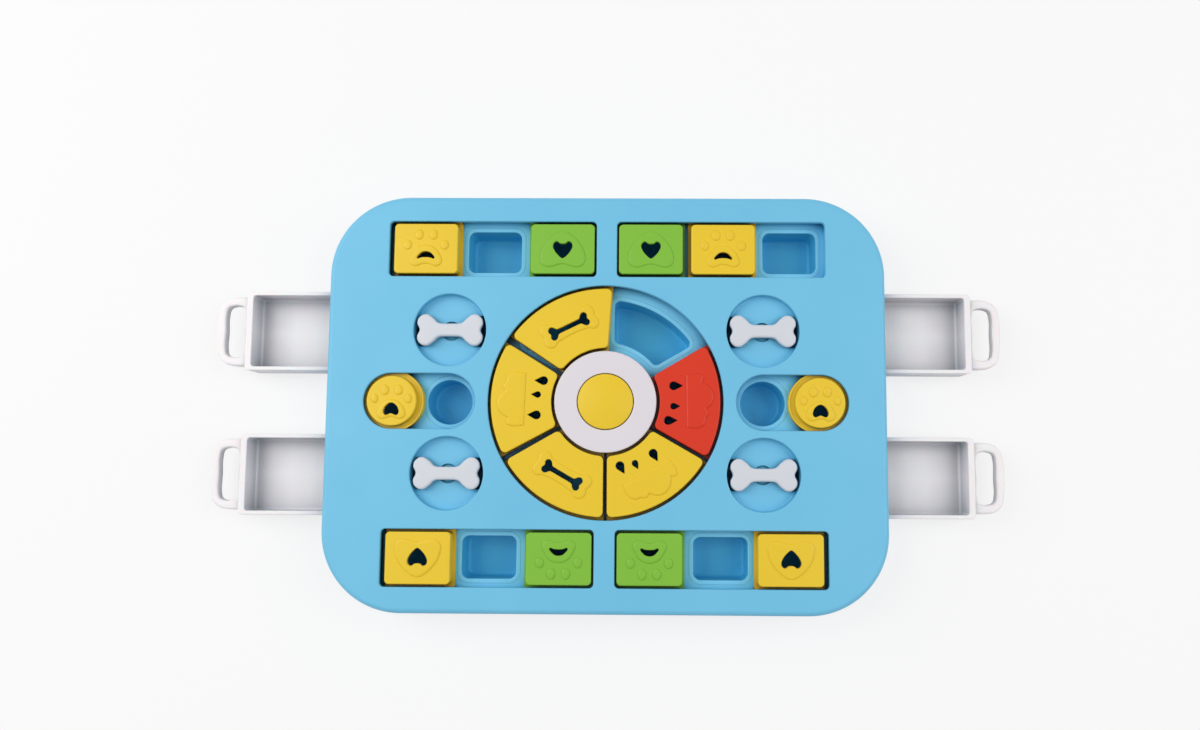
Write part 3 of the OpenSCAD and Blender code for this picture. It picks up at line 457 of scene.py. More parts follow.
# On the wheel's covers, about the X axis
MELON = [
    (55.8, 18.2, "sharp"), (65.0, 18.9), (68.3, 16.6), (67.0, 13.4, "sharp"), (71.0, 11.0),
    (74.4, 6.4), (75.0, 1.6), (72.8, -2.8), (69.8, -5.4, "sharp"), (71.4, -8.6),
    (69.4, -11.8, "sharp"), (68.6, -15.6), (65.0, -18.6), (55.8, -18.4, "sharp")]
PIPS = [pip(*place) for place in ((48.6, 12.8, 3.0), (47.2, -4.2, 2.2), (45.4, -17.0, 3.0))]
BONE_PAD = across(bone_line(41.0, 18.0, 12.0, 5.0, 1.0))
BONE_HOLE = across(bone_line(29.5, 9.8, 3.6, 2.6, 0.8))

BONE_BODY = bone_line(46.0, 22.4, 9.0, 6.3, 1.7)

# The loop of a drawer's handle and the opening in it, from the drawer's front
HANDLE_LINE = [
    (-1.5, 25.0, "sharp"), (8.0, 25.0), (14.8, 23.6), (19.6, 19.4), (21.4, 12.0), (22.0, 0),
    (21.4, -12.0), (19.6, -19.4), (14.8, -23.6), (8.0, -25.0), (-1.5, -25.0, "sharp")]
HANDLE_HOLE = [
    (2.4, 0), (2.4, 14.4), (3.4, 17.2), (6.0, 18.4), (11.4, 18.4), (14.6, 16.8), (15.7, 13.4),
    (15.8, 0), (15.7, -13.4), (14.6, -16.8), (11.4, -18.4), (6.0, -18.4), (3.4, -17.2),
    (2.4, -14.4)]

# ---------------------------------------------------------------- board

TRACKS = [(x * TRACK_X, y * TRACK_Y) for x, y in CORNERS]
BONES = [(x * BONE_X, y * BONE_Y) for x, y in CORNERS]


def round_slots(radius, z0, z1):
    ends = ((ROUND_IN, ROUND_OUT), (-ROUND_OUT, -ROUND_IN))
    return [long_disc(x0, x1, radius, z0, z1) for x0, x1 in ends]


def pocket_shapes(more, z0, z1):
    """The hollows that the covers' flanges run in, grown by more."""
    length, width = POCKET_L + 2 * more, POCKET_W + 2 * more
    tracks = [slab(x, y, length, width, z0, z1, SLOT_R + more) for x, y in TRACKS]
    wheel = disc(0, 0, WHEEL_POCKET_R + more, z0, z1, WHEEL_STEPS)
    return tracks + round_slots(ROUND_POCKET_R + more, z0, z1) + [wheel]


def recess_cutter(x, y):
    """The dished round recess of a bone."""
    cutter = disc(x, y, RECESS_R, RECESS_Z, DECK_Z + OVER)
    return soften(cutter, level(RECESS_Z), RECESS_ROUND, 4)


def chutes(x, y):
    """The openings under a bone's two ends."""
    cuts = []
    for way in (1, -1):
        chute_x = x + way * (BRIDGE_L / 2 + RECESS_R / 2)
        cut = slab(chute_x, y, RECESS_R, CHUTE_W, FLOOR_CUT + OVER, FLOOR_CUT_TOP, CHUTE_R)
        bound = disc(x, y, RECESS_R - CHUTE_INSET, FLOOR_CUT, FLOOR_CUT_TOP + OVER)
        cuts.append(combine(cut, bound, "INTERSECT"))
    return cuts


def add_posts(deck):
    """The posts of the bottom plate and the bosses of the trays, with their screw holes."""
    top = UNDER_DECK + OVER
    posts = [disc(x, y, POST_R, PLATE_TOP, top, POST_STEPS) for x, y in POSTS]
    bosses = [disc(x, y, BOSS_R, LEDGE_Z, top, POST_STEPS) for x, y, turn in ear_places()]
    join(deck, bundle(posts + bosses))
    holes = [disc(x, y, SCREW_R, PLATE_TOP - OVER, PLATE_TOP + POST_HOLE, 16) for x, y in POSTS]
    holes += [
        disc(x, y, SCREW_R, LEDGE_Z - OVER, UNDER_DECK + BOSS_HOLE, 16)
        for x, y, turn in ear_places()]
    return carve(deck, bundle(holes))


def add_recess_floors(deck):
    """The chutes, the dish and the pin's bore in the floor of each bone's recess."""
    carve(deck, bundle([cut for x, y in BONES for cut in chutes(x, y)]))
    carve(deck, discs(BONES, DISH_R, RECESS_Z - DISH_D, FLOOR_CUT_TOP, ROUND_STEPS))
    soften(deck, level(RECESS_Z), RECESS_EDGE, 2)
    return carve(deck, discs(BONES, PIN_BORE_R, FLOOR_CUT, FLOOR_CUT_TOP, ROUND_STEPS))


def make_deck():
    deck = slab(0, 0, BOARD_L, BOARD_W, PLATE_Z, DECK_Z, CORNER_R, 24)
    soften(deck, level(DECK_Z), EDGE_R, 6)
    length, width = BOARD_L - 2 * WALL, BOARD_W - 2 * WALL
    carve(deck, slab(0, 0, length, width, 0, UNDER_DECK, CORNER_R - WALL, 24))
    guides = pocket_shapes(GUIDE, LEDGE_Z, UNDER_DECK + OVER)
    cup_z = RECESS_Z - RECESS_FLOOR_T
    cups = [disc(x, y, RECESS_R + RECESS_WALL, cup_z, UNDER_DECK + OVER) for x, y in BONES]
    join(deck, *guides, *cups)
    add_posts(deck)
    carve(deck, bundle(pocket_shapes(0, LEDGE_Z - OVER, UNDER_DECK)))
    slots = [slab(x, y, SLOT_L, SLOT_W, LEDGE_Z, DECK_Z + OVER, SLOT_R) for x, y in TRACKS]
    slots += round_slots(ROUND_SLOT_R, LEDGE_Z, DECK_Z + OVER)
    slots += [disc(0, 0, WHEEL_R, LEDGE_Z, DECK_Z + OVER, WHEEL_STEPS)]
    carve(deck, bundle(slots + [recess_cutter(x, y) for x, y in BONES]))
    soften(deck, level(DECK_Z), RIM, 3)
    add_recess_floors(deck)
    wide, high = DRAWER_W + 2 * WINDOW_GAP, DRAWER_TOP + WINDOW_GAP
    return carve(deck, bundle([
        slab(x * BOARD_L / 2, y * DRAWER_Y, 4 * WALL, wide, PLATE_TOP, high)
        for x, y in CORNERS]))


def make_bottom_plate():
    inset = WALL + PLATE_GAP
    length, width = BOARD_L - 2 * inset, BOARD_W - 2 * inset
    plate = slab(0, 0, length, width, PLATE_Z, PLATE_TOP, CORNER_R - inset, 24)
    rail_y = DRAWER_W / 2 + WINDOW_GAP + RAIL_T / 2
    rails = [
        slab(x * RAIL_X, y * DRAWER_Y + side * rail_y, RAIL_L, RAIL_T, PLATE_TOP - SINK, RAIL_TOP)
        for x, y in CORNERS for side in (-1, 1)]
    join(plate, soften(bundle(rails), level(RAIL_TOP), RAIL_EDGE, 2))
    middle_z = (PLATE_Z + PLATE_TOP) / 2
    carve(plate, discs(POSTS, HEAD_HOLE_R, PLATE_Z - OVER, middle_z, POST_STEPS))
    soften(plate, level(PLATE_Z), PLATE_EDGE, 2)
    return carve(plate, discs(POSTS, SCREW_HOLE_R, PLATE_Z, PLATE_TOP + OVER, HOLE_STEPS))


def make_feet():
    low, high = [[value / MM for value in corner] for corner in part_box("rubber_feet")]
    reach_x, reach_y = high[0] - FOOT_R, high[1] - FOOT_R
    foot = soften(disc(0, 0, FOOT_R, 0, FOOT_T, 48), level(0), FOOT_EDGE, 3)
    return spread(foot, [(x * reach_x, y * reach_y, 0) for x in (-1, 0, 1) for y in (-1, 1)])


# ---------------------------------------------------------------- trays and wells


def ear(x, y, turn):
    """A screw ear at a point, pointing away from its tray."""
    tab_l = EAR_R + EAR_TAB
    tab = slab(-tab_l / 2, 0, tab_l, 2 * EAR_R, SHEET_Z, LEDGE_Z)
    return moved(join(disc(0, 0, EAR_R, SHEET_Z, LEDGE_Z, POST_STEPS), tab), x, y, turn=turn)


def straight_ears():
    """The ears of the right rear track, from the middle of the track: x, y and turn."""
    side = POCKET_W / 2 + EAR_REACH - EAR_NEARER
    end = POCKET_L / 2 + EAR_REACH - EAR_NEARER
    return [(-POCKET_L / 3, side, 90), (POCKET_L / 3, side, 90), (end, 0, 0)]


def round_ears():
    side = ROUND_POCKET_R + EAR_REACH
    return [(ROUND_OUT + side - EAR_NEARER, 0, 0), (ROUND_OUT, side, 90), (ROUND_OUT, -side, -90)]


def wheel_ears():
    reach = WHEEL_POCKET_R + EAR_REACH
    return [(*polar(reach, turn), turn) for turn in (45, 135, 225, 315)]


def ear_places():
    """All the ears of the board."""
    ends = [(way * x, y, turn) for x, y, turn in round_ears() for way in (1, -1)]
    tracks = [
        (x * (TRACK_X + ear_x), y * (TRACK_Y + ear_y), turn)
        for ear_x, ear_y, turn in straight_ears() for x, y in CORNERS]
    return tracks + ends + wheel_ears()


def straight_well(more, z0, z1):
    """The plan of a straight well as a slab, grown by more; the next two are like it."""
    return slab(0, 0, WELL_L + 2 * more, WELL_W + 2 * more, z0, z1, WELL_R + more)


def round_well(more, z0, z1):
    return disc(0, 0, ROUND_WELL_R + more, z0, z1)


def wheel_well(more, z0, z1):
    r_in, r_out, side, corner = WHEEL_WELL
    return sector(r_in - more, r_out + more, side - more, z0, z1, corner + more)


STRAIGHT_PLACES = [(step * TRACK_PITCH, 0, 0) for step in (-1, 0, 1)]
ROUND_PLACES = [(ROUND_IN, 0, 0), (ROUND_OUT, 0, 0)]
WHEEL_PLACES = [(0, 0, 60 * step) for step in range(6)]


def make_tray(sheet, ears, well, places):
    """A sheet with its ears, and with a rebate and a hole for each cup."""
    under, over = SHEET_Z - OVER, LEDGE_Z + OVER
    join(sheet, bundle([ear(*place) for place in ears]))
    carve(sheet, discs(ears, SCREW_HOLE_R, under, over, HOLE_STEPS))
    rebate = well(WELL_WALL + CUP_RIM + CUP_GAP, LEDGE_Z - CUP_RIM_T, over)
    carve(sheet, spread(rebate, places))
    return carve(sheet, spread(well(WELL_WALL + CUP_GAP, under, over), places))


def make_cups(well, places):
    """Cups that hang by their rims in a tray."""
    cup = soften(well(WELL_WALL, CUP_Z, LEDGE_Z - CUP_NECK), level(CUP_Z), CUP_FOOT_R, 4)
    join(cup, well(WELL_WALL + CUP_RIM, LEDGE_Z - CUP_RIM_T, LEDGE_Z))
    soften(cup, level(LEDGE_Z), CUP_RIM_EDGE, 1)
    inner = soften(well(0, CUP_FLOOR, LEDGE_Z + OVER), level(CUP_FLOOR), CUP_FLOOR_R, 4)
    carve(cup, inner)
    return spread(soften(cup, level(LEDGE_Z), WELL_RIM, 3, 60), places)


def make_wheel_tray():
    sheet = disc(0, 0, WHEEL_POCKET_R + SHEET_EDGE, SHEET_Z, LEDGE_Z, WHEEL_STEPS)
    tray = make_tray(sheet, wheel_ears(), wheel_well, WHEEL_PLACES)
    join(tray, disc(0, 0, HUB_STOP_R + WELL_WALL, CUP_Z, SHEET_Z + SINK))
    join(tray, disc(0, 0, HUB_BOSS_R, LEDGE_Z - SINK, UNDER_DECK))
    carve(tray, disc(0, 0, HUB_STOP_R, CUP_FLOOR, DECK_Z))
    carve(tray, disc(0, 0, HUB_BORE_R, HUB_STOP_Z, DECK_Z))
    carve(tray, disc(0, 0, AIR_HOLE_R, CUP_Z - OVER, CUP_FLOOR + OVER, POST_STEPS))
    spots = [polar(HUB_SCREW_R, turn) for turn in (90, 210, 330)]
    head_top = SHEET_Z + HUB_SCREW_SINK
    carve(tray, discs(spots, HEAD_HOLE_R, SHEET_Z - OVER, head_top, POST_STEPS))
    return carve(tray, discs(spots, SCREW_HOLE_R, SHEET_Z, UNDER_DECK + OVER, HOLE_STEPS))


# ---------------------------------------------------------------- covers


def make_relief(line):
    """A raised shape whose shoulder is twice as wide as it is high."""
    low, high = 2 * (CAP_Z - RELIEF_SINK), 2 * RELIEF_Z
    relief = outline(line, low, high, RELIEF_SHOULDER, edge_steps=3)
    relief.scale.z = 0.5
    return settle(relief)


def add_pattern(cover, reliefs, holes, hole_top=RELIEF_Z):
    """Raise the reliefs on a cap and cut the holes through it, their rims chamfered."""
    for line in reliefs:
        join(cover, make_relief(line))
    rim_z, rim_top = hole_top - HOLE_EDGE, hole_top + OVER
    for line in holes:
        carve(cover, outline(line, RELIEF_Z - HOLE_CUT, RELIEF_Z + OVER, steps=4))
        carve(cover, outline(line, rim_z, rim_top, HOLE_EDGE, 4, grown=HOLE_EDGE, edge_steps=0))
    return cover


def hollow_cover(flange, trough, cap, inner):
    """A flange whose trough leaves a rail under the deck, a cap on it, and the hollow inside."""
    soften(flange, level(FLANGE_TOP), FLANGE_EDGE, 2)
    soften(cap, level(CAP_Z), CAP_EDGE, 3)
    return carve(join(carve(flange, trough), cap), inner)


def make_straight_cover(reliefs, holes):
    inner_l, inner_w = CAP_L - 2 * COVER_WALL, CAP_W - 2 * COVER_WALL
    trough_l, trough_w = FLANGE_L + 2 * OVER, FLANGE_W - 2 * RAIL_W
    cover = hollow_cover(
        slab(0, 0, FLANGE_L, FLANGE_W, FLANGE_Z, FLANGE_TOP, SLOT_R),
        slab(0, 0, trough_l, trough_w, TROUGH_Z, FLANGE_TOP + OVER),
        slab(0, 0, CAP_L, CAP_W, FLANGE_Z + SINK, CAP_Z, CAP_R),
        slab(0, 0, inner_l, inner_w, FLANGE_Z - OVER, CAP_Z - COVER_WALL, CAP_R))
    return add_pattern(cover, reliefs, holes)


def make_round_cover():
    step_r = ROUND_FLANGE_R - ROUND_RAIL_W
    cover = hollow_cover(
        disc(0, 0, ROUND_FLANGE_R, FLANGE_Z, FLANGE_TOP),
        disc(0, 0, step_r, FLANGE_TOP - ROUND_STEP, FLANGE_TOP + OVER),
        disc(0, 0, ROUND_CAP_R, FLANGE_Z + SINK, CAP_Z),
        disc(0, 0, ROUND_CAP_R - COVER_WALL, FLANGE_Z - OVER, CAP_Z - COVER_WALL))
    return add_pattern(cover, [ROUND_PAD] + ROUND_TOES, [ROUND_HOLE])


def make_sector_cover(reliefs, holes, hole_top):
    """A cover of the wheel, about the X axis."""
    r_in, r_out, side, corner = SECTOR_FLANGE
    inner_rail = r_in + SECTOR_INNER_RAIL
    trough = carve(
        disc(0, 0, r_out - RAIL_W, TROUGH_Z, FLANGE_TOP + OVER, WHEEL_STEPS),
        disc(0, 0, inner_rail, FLANGE_Z, FLANGE_TOP + 2 * OVER, WHEEL_STEPS))
    flange = sector(r_in, r_out, side, FLANGE_Z, FLANGE_TOP, corner, 3)
    r_in, r_out, side, corner = SECTOR_CAP
    cap = sector(r_in, r_out, side, FLANGE_Z + SINK, CAP_Z, corner)
    inner = sector(
        r_in + COVER_WALL, r_out - COVER_WALL, side + COVER_WALL,
        FLANGE_Z - OVER, CAP_Z - COVER_WALL, corner)
    return add_pattern(hollow_cover(flange, trough, cap, inner), reliefs, holes, hole_top)


# ---------------------------------------------------------------- hub, bones, drawers


def make_hub_ring():
    ring = disc(0, 0, RING_R, UNDER_DECK, RING_TOP, WHEEL_STEPS)
    carve(ring, disc(0, 0, RING_BORE_R, UNDER_DECK - OVER, RING_TOP + OVER, WHEEL_STEPS))
    return soften(ring, level(RING_TOP), RING_EDGE, 3)


def make_button():
    """The domed press button, hollow below."""
    button = disc(0, 0, BUTTON_R, BUTTON_Z, BUTTON_TOP)
    choose(button)
    bpy.ops.object.mode_set(mode="EDIT")
    bpy.ops.mesh.select_mode(type="FACE")
    bpy.ops.mesh.select_all(action="DESELECT")
    mesh = bmesh.from_edit_mesh(button.data)
    for face in mesh.faces:
        face.select_set(face.normal.z > 0.9)
    bmesh.update_edit_mesh(button.data)
    dome_r = (BUTTON_R ** 2 + DOME_H ** 2) / (2 * DOME_H)
    rim_rise = math.sqrt(dome_r ** 2 - BUTTON_R ** 2)
    radius, height = BUTTON_R, 0.0
    for part in DOME_PARTS:
        rise = math.sqrt(dome_r ** 2 - (BUTTON_R * part) ** 2) - rim_rise - height
        bpy.ops.mesh.inset(thickness=(radius - BUTTON_R * part) * MM)
        bpy.ops.transform.translate(value=(0, 0, rise * MM))
        radius, height = BUTTON_R * part, height + rise
    bpy.ops.object.mode_set(mode="OBJECT")
    soften(button, level(BUTTON_TOP), BUTTON_EDGE, 3, 20)
    join(button, disc(0, 0, *BUTTON_FLANGE))
    return carve(button, disc(0, 0, *BUTTON_HOLLOW))


def make_bellows():
    """A soft bellows: its profile, turned about the Z axis."""
    low, high = BELLOWS_Z + BELLOWS_END, BELLOWS_TOP - BELLOWS_END
    step = (BELLOWS_TOP - BELLOWS_Z - 2 * BELLOWS_END) / (2 * FOLDS)
    outside = [
        (BELLOWS_WAIST_R if turn % 2 else BELLOWS_R, low + step * turn)
        for turn in range(2 * FOLDS + 1)]
    inside = [(x - BELLOWS_SKIN, z) for x, z in outside]
    profile = [(0, BELLOWS_TOP), (BELLOWS_R, BELLOWS_TOP)] + outside[::-1]
    profile += [(BELLOWS_R, BELLOWS_Z), (BELLOWS_HOLE_R, BELLOWS_Z), (BELLOWS_HOLE_R, low)]
    profile += inside + [(0, high)]
    curve = bpy.data.curves.new("profile", "CURVE")
    curve.dimensions = "3D"
    spline = curve.splines.new("POLY")
    spline.points.add(len(profile) - 1)
    for point, (x, z) in zip(spline.points, profile):
        point.co = (x * MM, 0, z * MM, 1)
    bellows = meshed(curve)
    turned = bellows.modifiers.new("turned", "SCREW")
    turned.use_merge_vertices = True
    turned.merge_threshold = NEAR * MM
    turned.steps = turned.render_steps = FOLD_STEPS
    bpy.ops.object.modifier_apply(modifier=turned.name)

    def fold(a, b):
        return math.hypot(a.x, a.y) > BELLOWS_HOLE_R + OVER and abs(a.z - b.z) < NEAR
    return soften(close_seams(bellows), fold, FOLD_R, 3)


def make_bone():
    body = outline(BONE_BODY, BONE_Z, BONE_TOP, BONE_EDGE, 8)
    join(body, disc(0, 0, PIN_R, PIN_Z, PIN_TOP, 48))
    return carve(body, disc(0, 0, SCREW_R, FLOOR_CUT + OVER, PIN_SCREW_TOP, HOLE_STEPS))


def make_drawer():
    """A drawer that opens to the right, its middle on the X axis."""
    back, floor = DRAWER_FRONT_X - DRAWER_L, DRAWER_Z + DRAWER_WALL
    middle_x = back + DRAWER_L / 2
    body = slab(middle_x, 0, DRAWER_L, DRAWER_W, DRAWER_Z, DRAWER_TOP, DRAWER_R)
    soften(body, level(DRAWER_Z), DRAWER_FOOT_R, 3)
    low = (back + DRAWER_WALL, DRAWER_WALL - DRAWER_W / 2, floor)
    high = (DRAWER_FRONT_X - DRAWER_FRONT_T, DRAWER_W / 2 - DRAWER_WALL, DRAWER_TOP + OVER)
    carve(body, soften(block(low, high, DRAWER_INNER_R, 6), level(floor), DRAWER_FLOOR_R, 4))
    soften(body, level(DRAWER_TOP), DRAWER_RIM, 3)
    handle = outline([HANDLE_LINE, HANDLE_HOLE], HANDLE_Z, HANDLE_TOP, HANDLE_EDGE)
    join(body, moved(handle, x=DRAWER_FRONT_X))
    for way in (-1, 1):
        y = way * (DRAWER_W - LUG_T) / 2
        join(body, slab(back + LUG_X, y, LUG_L, LUG_T, DRAWER_TOP - OVER, DRAWER_TOP + LUG_H))
    return body


# ---------------------------------------------------------------- finishes

PAINTED_SHADE_REACH = 26.0            # how far from a place its walls still count for the painted shade
PAINTED_HOLLOW_LOW, PAINTED_HOLLOW_TOP = 0.14, 0.64  # shares of open sky with the full and with no painted hollow shade
PAINTED_GAP_TOP = 0.24                 # share below which a narrow gap is painted dark
# The painted shade of narrow gaps, near black
PAINTED_GAP_SHADE = "#0A0E10"
CLOUD_MM = 45.0


def linear(shade):
    """The linear colour of an sRGB hex value."""
    parts = [int(shade[i:i + 2], 16) / 255 for i in (1, 3, 5)]
    return [c / 12.92 if c <= 0.04045 else ((c + 0.055) / 1.055) ** 2.4 for c in parts] + [1.0]


def add_node(tree, kind, settings=None, links=None):
    """Add a node, set its inputs or properties, and link its inputs."""
    node = tree.nodes.new(kind)
    for name, value in (settings or {}).items():
        if name in node.inputs:
            node.inputs[name].default_value = value
        else:
            setattr(node, name, value)
    for name, output in (links or {}).items():
        tree.links.new(output, node.inputs[name])
    return node


def mixed_shades(tree, first, second, share):
    """The output of a node that mixes two shades; the second may be another node's output."""
    mix = add_node(tree, "ShaderNodeMix", {"data_type": "RGBA"})
    mix.inputs[6].default_value = first
    if isinstance(second, list):
        mix.inputs[7].default_value = second
    else:
        tree.links.new(second, mix.inputs[7])
    tree.links.new(share, mix.inputs[0])
    return mix.outputs[2]


def moulded(
        name, shade, second_shade, painted_hollow_shade, roughness, grain_mm, grain_depth,
        painted_hollow_top=PAINTED_HOLLOW_TOP, painted_gap_top=PAINTED_GAP_TOP, **shader):
    """Moulded plastic or rubber: a fine grain from the tool, slow clouds in shade and gloss, and
    painted shade: an ambient occlusion test darkens its hollows towards a hollow colour and its
    narrow gaps towards near black, in place of the shade that falls there.

    A tool's real grain is a tenth of a millimetre or less. It is drawn a few times as wide, as
    coarse as it needs to show from near.
    """
    finish = bpy.data.materials.new(name)
    finish.use_nodes = True
    tree = finish.node_tree
    tree.nodes.clear()
    place = {"Vector": add_node(tree, "ShaderNodeTexCoord").outputs["Object"]}
    grain = add_node(
        tree, "ShaderNodeTexNoise",
        {"Scale": 1 / (grain_mm * MM), "Detail": 3.0, "Roughness": 0.6}, place)
    clouds = add_node(
        tree, "ShaderNodeTexNoise", {"Scale": 1 / (CLOUD_MM * MM), "Detail": 2.0}, place)
    bump = add_node(
        tree, "ShaderNodeBump", {"Strength": 0.35, "Distance": grain_depth * MM},
        {"Height": grain.outputs[0]})
    # Painted shade: the share of open sky round a point darkens the colour in hollows and gaps
    openness = add_node(
        tree, "ShaderNodeAmbientOcclusion", {"Distance": PAINTED_SHADE_REACH * MM, "samples": 8})
    out_of_painted_hollow_shade, out_of_painted_gap_shade = [
        add_node(
            tree, "ShaderNodeMapRange", {"From Min": low, "From Max": high},
            {"Value": openness.outputs["AO"]}).outputs[0]
        for low, high in ((PAINTED_HOLLOW_LOW, painted_hollow_top), (painted_gap_top / 3, painted_gap_top))]
    shades = mixed_shades(tree, linear(shade), linear(second_shade), clouds.outputs[0])
    # Painted shade: hollows take the hollow colour, and narrow gaps go near black
    hollow = mixed_shades(tree, linear(painted_hollow_shade), shades, out_of_painted_hollow_shade)
    depth = mixed_shades(tree, linear(PAINTED_GAP_SHADE), hollow, out_of_painted_gap_shade)
    gloss = add_node(
        tree, "ShaderNodeMapRange", {"To Min": roughness - 0.06, "To Max": roughness + 0.08},
        {"Value": clouds.outputs[0]})
    surface = add_node(
        tree, "ShaderNodeBsdfPrincipled", shader,
        {"Base Color": depth, "Roughness": gloss.outputs[0], "Normal": bump.outputs[0]})
    add_node(tree, "ShaderNodeOutputMaterial", links={"Surface": surface.outputs[0]})
    return finish


def abs_plastic(name, shade, second_shade, painted_hollow_shade, roughness=0.38, painted_gap_top=PAINTED_GAP_TOP):
    """Moulded ABS: a full, even colour with a satin gloss."""
    return moulded(
        name, shade, second_shade, painted_hollow_shade, roughness, 0.35, 0.02, painted_gap_top=painted_gap_top,
        **{"IOR": 1.54, "Specular IOR Level": 0.3})


# The third shade of each finish is painted shade, the colour its hollows take in place of the
# shade that falls there
FINISHES = {
    # The board, duller than its covers. Its wells and ledges are one plastic with it; the ledge,
    # wheel and cup finishes after it are copies of its blue with painted light and painted shade.
    "deck_blue": abs_plastic("ABS_sky_blue", "#7ACBEE", "#72C4E9", "#22A4D8", 0.42),
    # Ledges: painted light, a brighter copy of the deck's blue, with more of its narrow gaps
    # painted dark
    "ledge_blue_painted_light": abs_plastic(
        "ABS_sky_blue_ledge_painted_light", "#84D6F8", "#7CCFF4", "#4CC2F8", 0.42, 0.3),
    # The wheel's ledge: the same painted light, with the gaps between its covers painted darker
    # still
    "spoke_blue_painted_light_and_shade": abs_plastic(
        "ABS_sky_blue_wheel_ledge_painted_light_and_shade", "#84D6F8", "#7CCFF4", "#4CC2F8", 0.42, 0.54),
    # Cups: painted shade, a darker copy of the deck's blue, with a brighter hollow colour painted
    # in for the light that goes from wall to wall
    "cup_blue_painted_shade_and_light": abs_plastic("ABS_sky_blue_cup_painted_shade_and_light", "#4CB6DC", "#46B0D7", "#50C4F4", 0.46),
    # The covers
    "yellow_abs": abs_plastic("ABS_yellow", "#F4D034", "#EFCA2D", "#B88A14"),
    "green_abs": abs_plastic("ABS_leaf_green", "#88C440", "#82C03B", "#4A8A1C"),
    "red_abs": abs_plastic("ABS_red", "#E23A1C", "#DC3417", "#A01E0C"),
    # The hub ring, a warm white, and the bones, a cooler one
    "white_abs": abs_plastic("ABS_white", "#EBE5EA", "#E5DFE6", "#6C747C", 0.36),
    "bone_white": abs_plastic("ABS_cool_white", "#DEE1E8", "#D8DCE4", "#6C747C", 0.36),
    # The drawers: milky, because light goes a little way into them; a grey painted shade covers
    # most of their insides
    "frosted_pp": moulded(
        "polypropylene_frosted", "#FCF8FA", "#F7F2F5", "#949AA2", 0.45, 0.4, 0.03, 0.94,
        **{"IOR": 1.49, "Subsurface Weight": 0.25, "Subsurface Scale": 0.004}),
    # The bellows: soft and dull
    "soft_white": moulded(
        "PVC_soft_white", "#E4E1DD", "#DDDAD6", "#7C7A78", 0.5, 0.5, 0.02, **{"IOR": 1.52}),
    # The feet: nearly matt, with a deeper grain
    "foot_rubber": moulded(
        "rubber_grey", "#3C4146", "#363B40", "#202326", 0.75, 0.5, 0.06, **{"IOR": 1.52}),
    # The screws: a grey metal with a soft gloss
    "screw_steel": moulded(
        "steel_zinc_plated", "#B9BCC0", "#A9ADB2", "#5A5D61", 0.32, 0.25, 0.01,
        **{"Metallic": 1.0}),
}


def dress(piece, name, body, finish, *nodes):
    """Name a finished piece, give it its finish, tie it to its body and hide the parts it stands
    for.
    """
    piece.name = piece.data.name = name
    for vertex in piece.data.vertices:
        vertex.co = [round(value, 6) for value in vertex.co]
    piece.data.materials.clear()
    piece.data.materials.append(FINISHES[finish])
    choose(piece)
    bpy.ops.object.shade_smooth_by_angle(angle=math.radians(32))
    flats = piece.modifiers.new("flats", "WEIGHTED_NORMAL")
    flats.keep_sharp = True
    bpy.ops.object.modifier_apply(modifier=flats.name)
    if finish == "cup_blue_painted_shade_and_light":
        # The rims lie level with the ledges; their top faces get the ledges' painted-light copy
        # of the blue, so they look like them
        piece.data.materials.append(FINISHES["ledge_blue_painted_light"])
        rim_z = (LEDGE_Z - CUP_RIM_T) * MM
        for face in piece.data.polygons:
            face.material_index = int(face.center.z > rim_z and face.normal.z > 0.2)
    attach(piece, body)
    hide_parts(*nodes)
    return piece


def middle(node):
    low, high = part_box(node)
    return {"x": (low[0] + high[0]) / 2 / MM, "y": (low[1] + high[1]) / 2 / MM}


# ---------------------------------------------------------------- assembly

QUARTERS = (
    ("rear_left", -1, 1), ("rear_right", 1, 1), ("front_left", -1, -1), ("front_right", 1, -1))

dress(make_deck(), "deck_moulding", "board", "deck_blue", "top_deck")
dress(make_bottom_plate(), "base_moulding", "board", "deck_blue", "bottom_plate")
dress(make_feet(), "feet_moulded", "board", "foot_rubber", "rubber_feet")

sheet_l, sheet_w = POCKET_L + 2 * SHEET_EDGE, POCKET_W + 2 * SHEET_EDGE
track_sheet = slab(0, 0, sheet_l, sheet_w, SHEET_Z, LEDGE_Z, SLOT_R)
track_floor = make_tray(track_sheet, straight_ears(), straight_well, STRAIGHT_PLACES)
track_cups = make_cups(straight_well, STRAIGHT_PLACES)
for quarter, x, y in QUARTERS:
    place = {"x": x * TRACK_X, "y": y * TRACK_Y, "flip_x": x < 0, "flip_y": y < 0}
    floor = twin(track_floor, **place)
    dress(floor, f"floor_{quarter}", "board", "ledge_blue_painted_light", f"tray_{quarter}")
    cups = twin(track_cups, **place)
    dress(cups, f"cups_{quarter}", "board", "cup_blue_painted_shade_and_light", f"wells_{quarter}")
discard(track_floor, track_cups)

round_sheet = long_disc(ROUND_IN, ROUND_OUT, ROUND_POCKET_R + SHEET_EDGE, SHEET_Z, LEDGE_Z)
round_floor = make_tray(round_sheet, round_ears(), round_well, ROUND_PLACES)
round_cups = make_cups(round_well, ROUND_PLACES)
for side, turn in (("left", 180), ("right", 0)):
    floor = twin(round_floor, turn=turn)
    dress(floor, f"floor_round_{side}", "board", "ledge_blue_painted_light", f"round_tray_{side}")
    cups = twin(round_cups, turn=turn)
    dress(cups, f"cups_round_{side}", "board", "cup_blue_painted_shade_and_light", f"round_wells_{side}")
discard(round_floor, round_cups)

dress(make_wheel_tray(), "floor_wheel", "board", "spoke_blue_painted_light_and_shade", "wheel_tray")
dress(make_cups(wheel_well, WHEEL_PLACES), "cups_wheel", "board", "cup_blue_painted_shade_and_light", "wheel_wells")

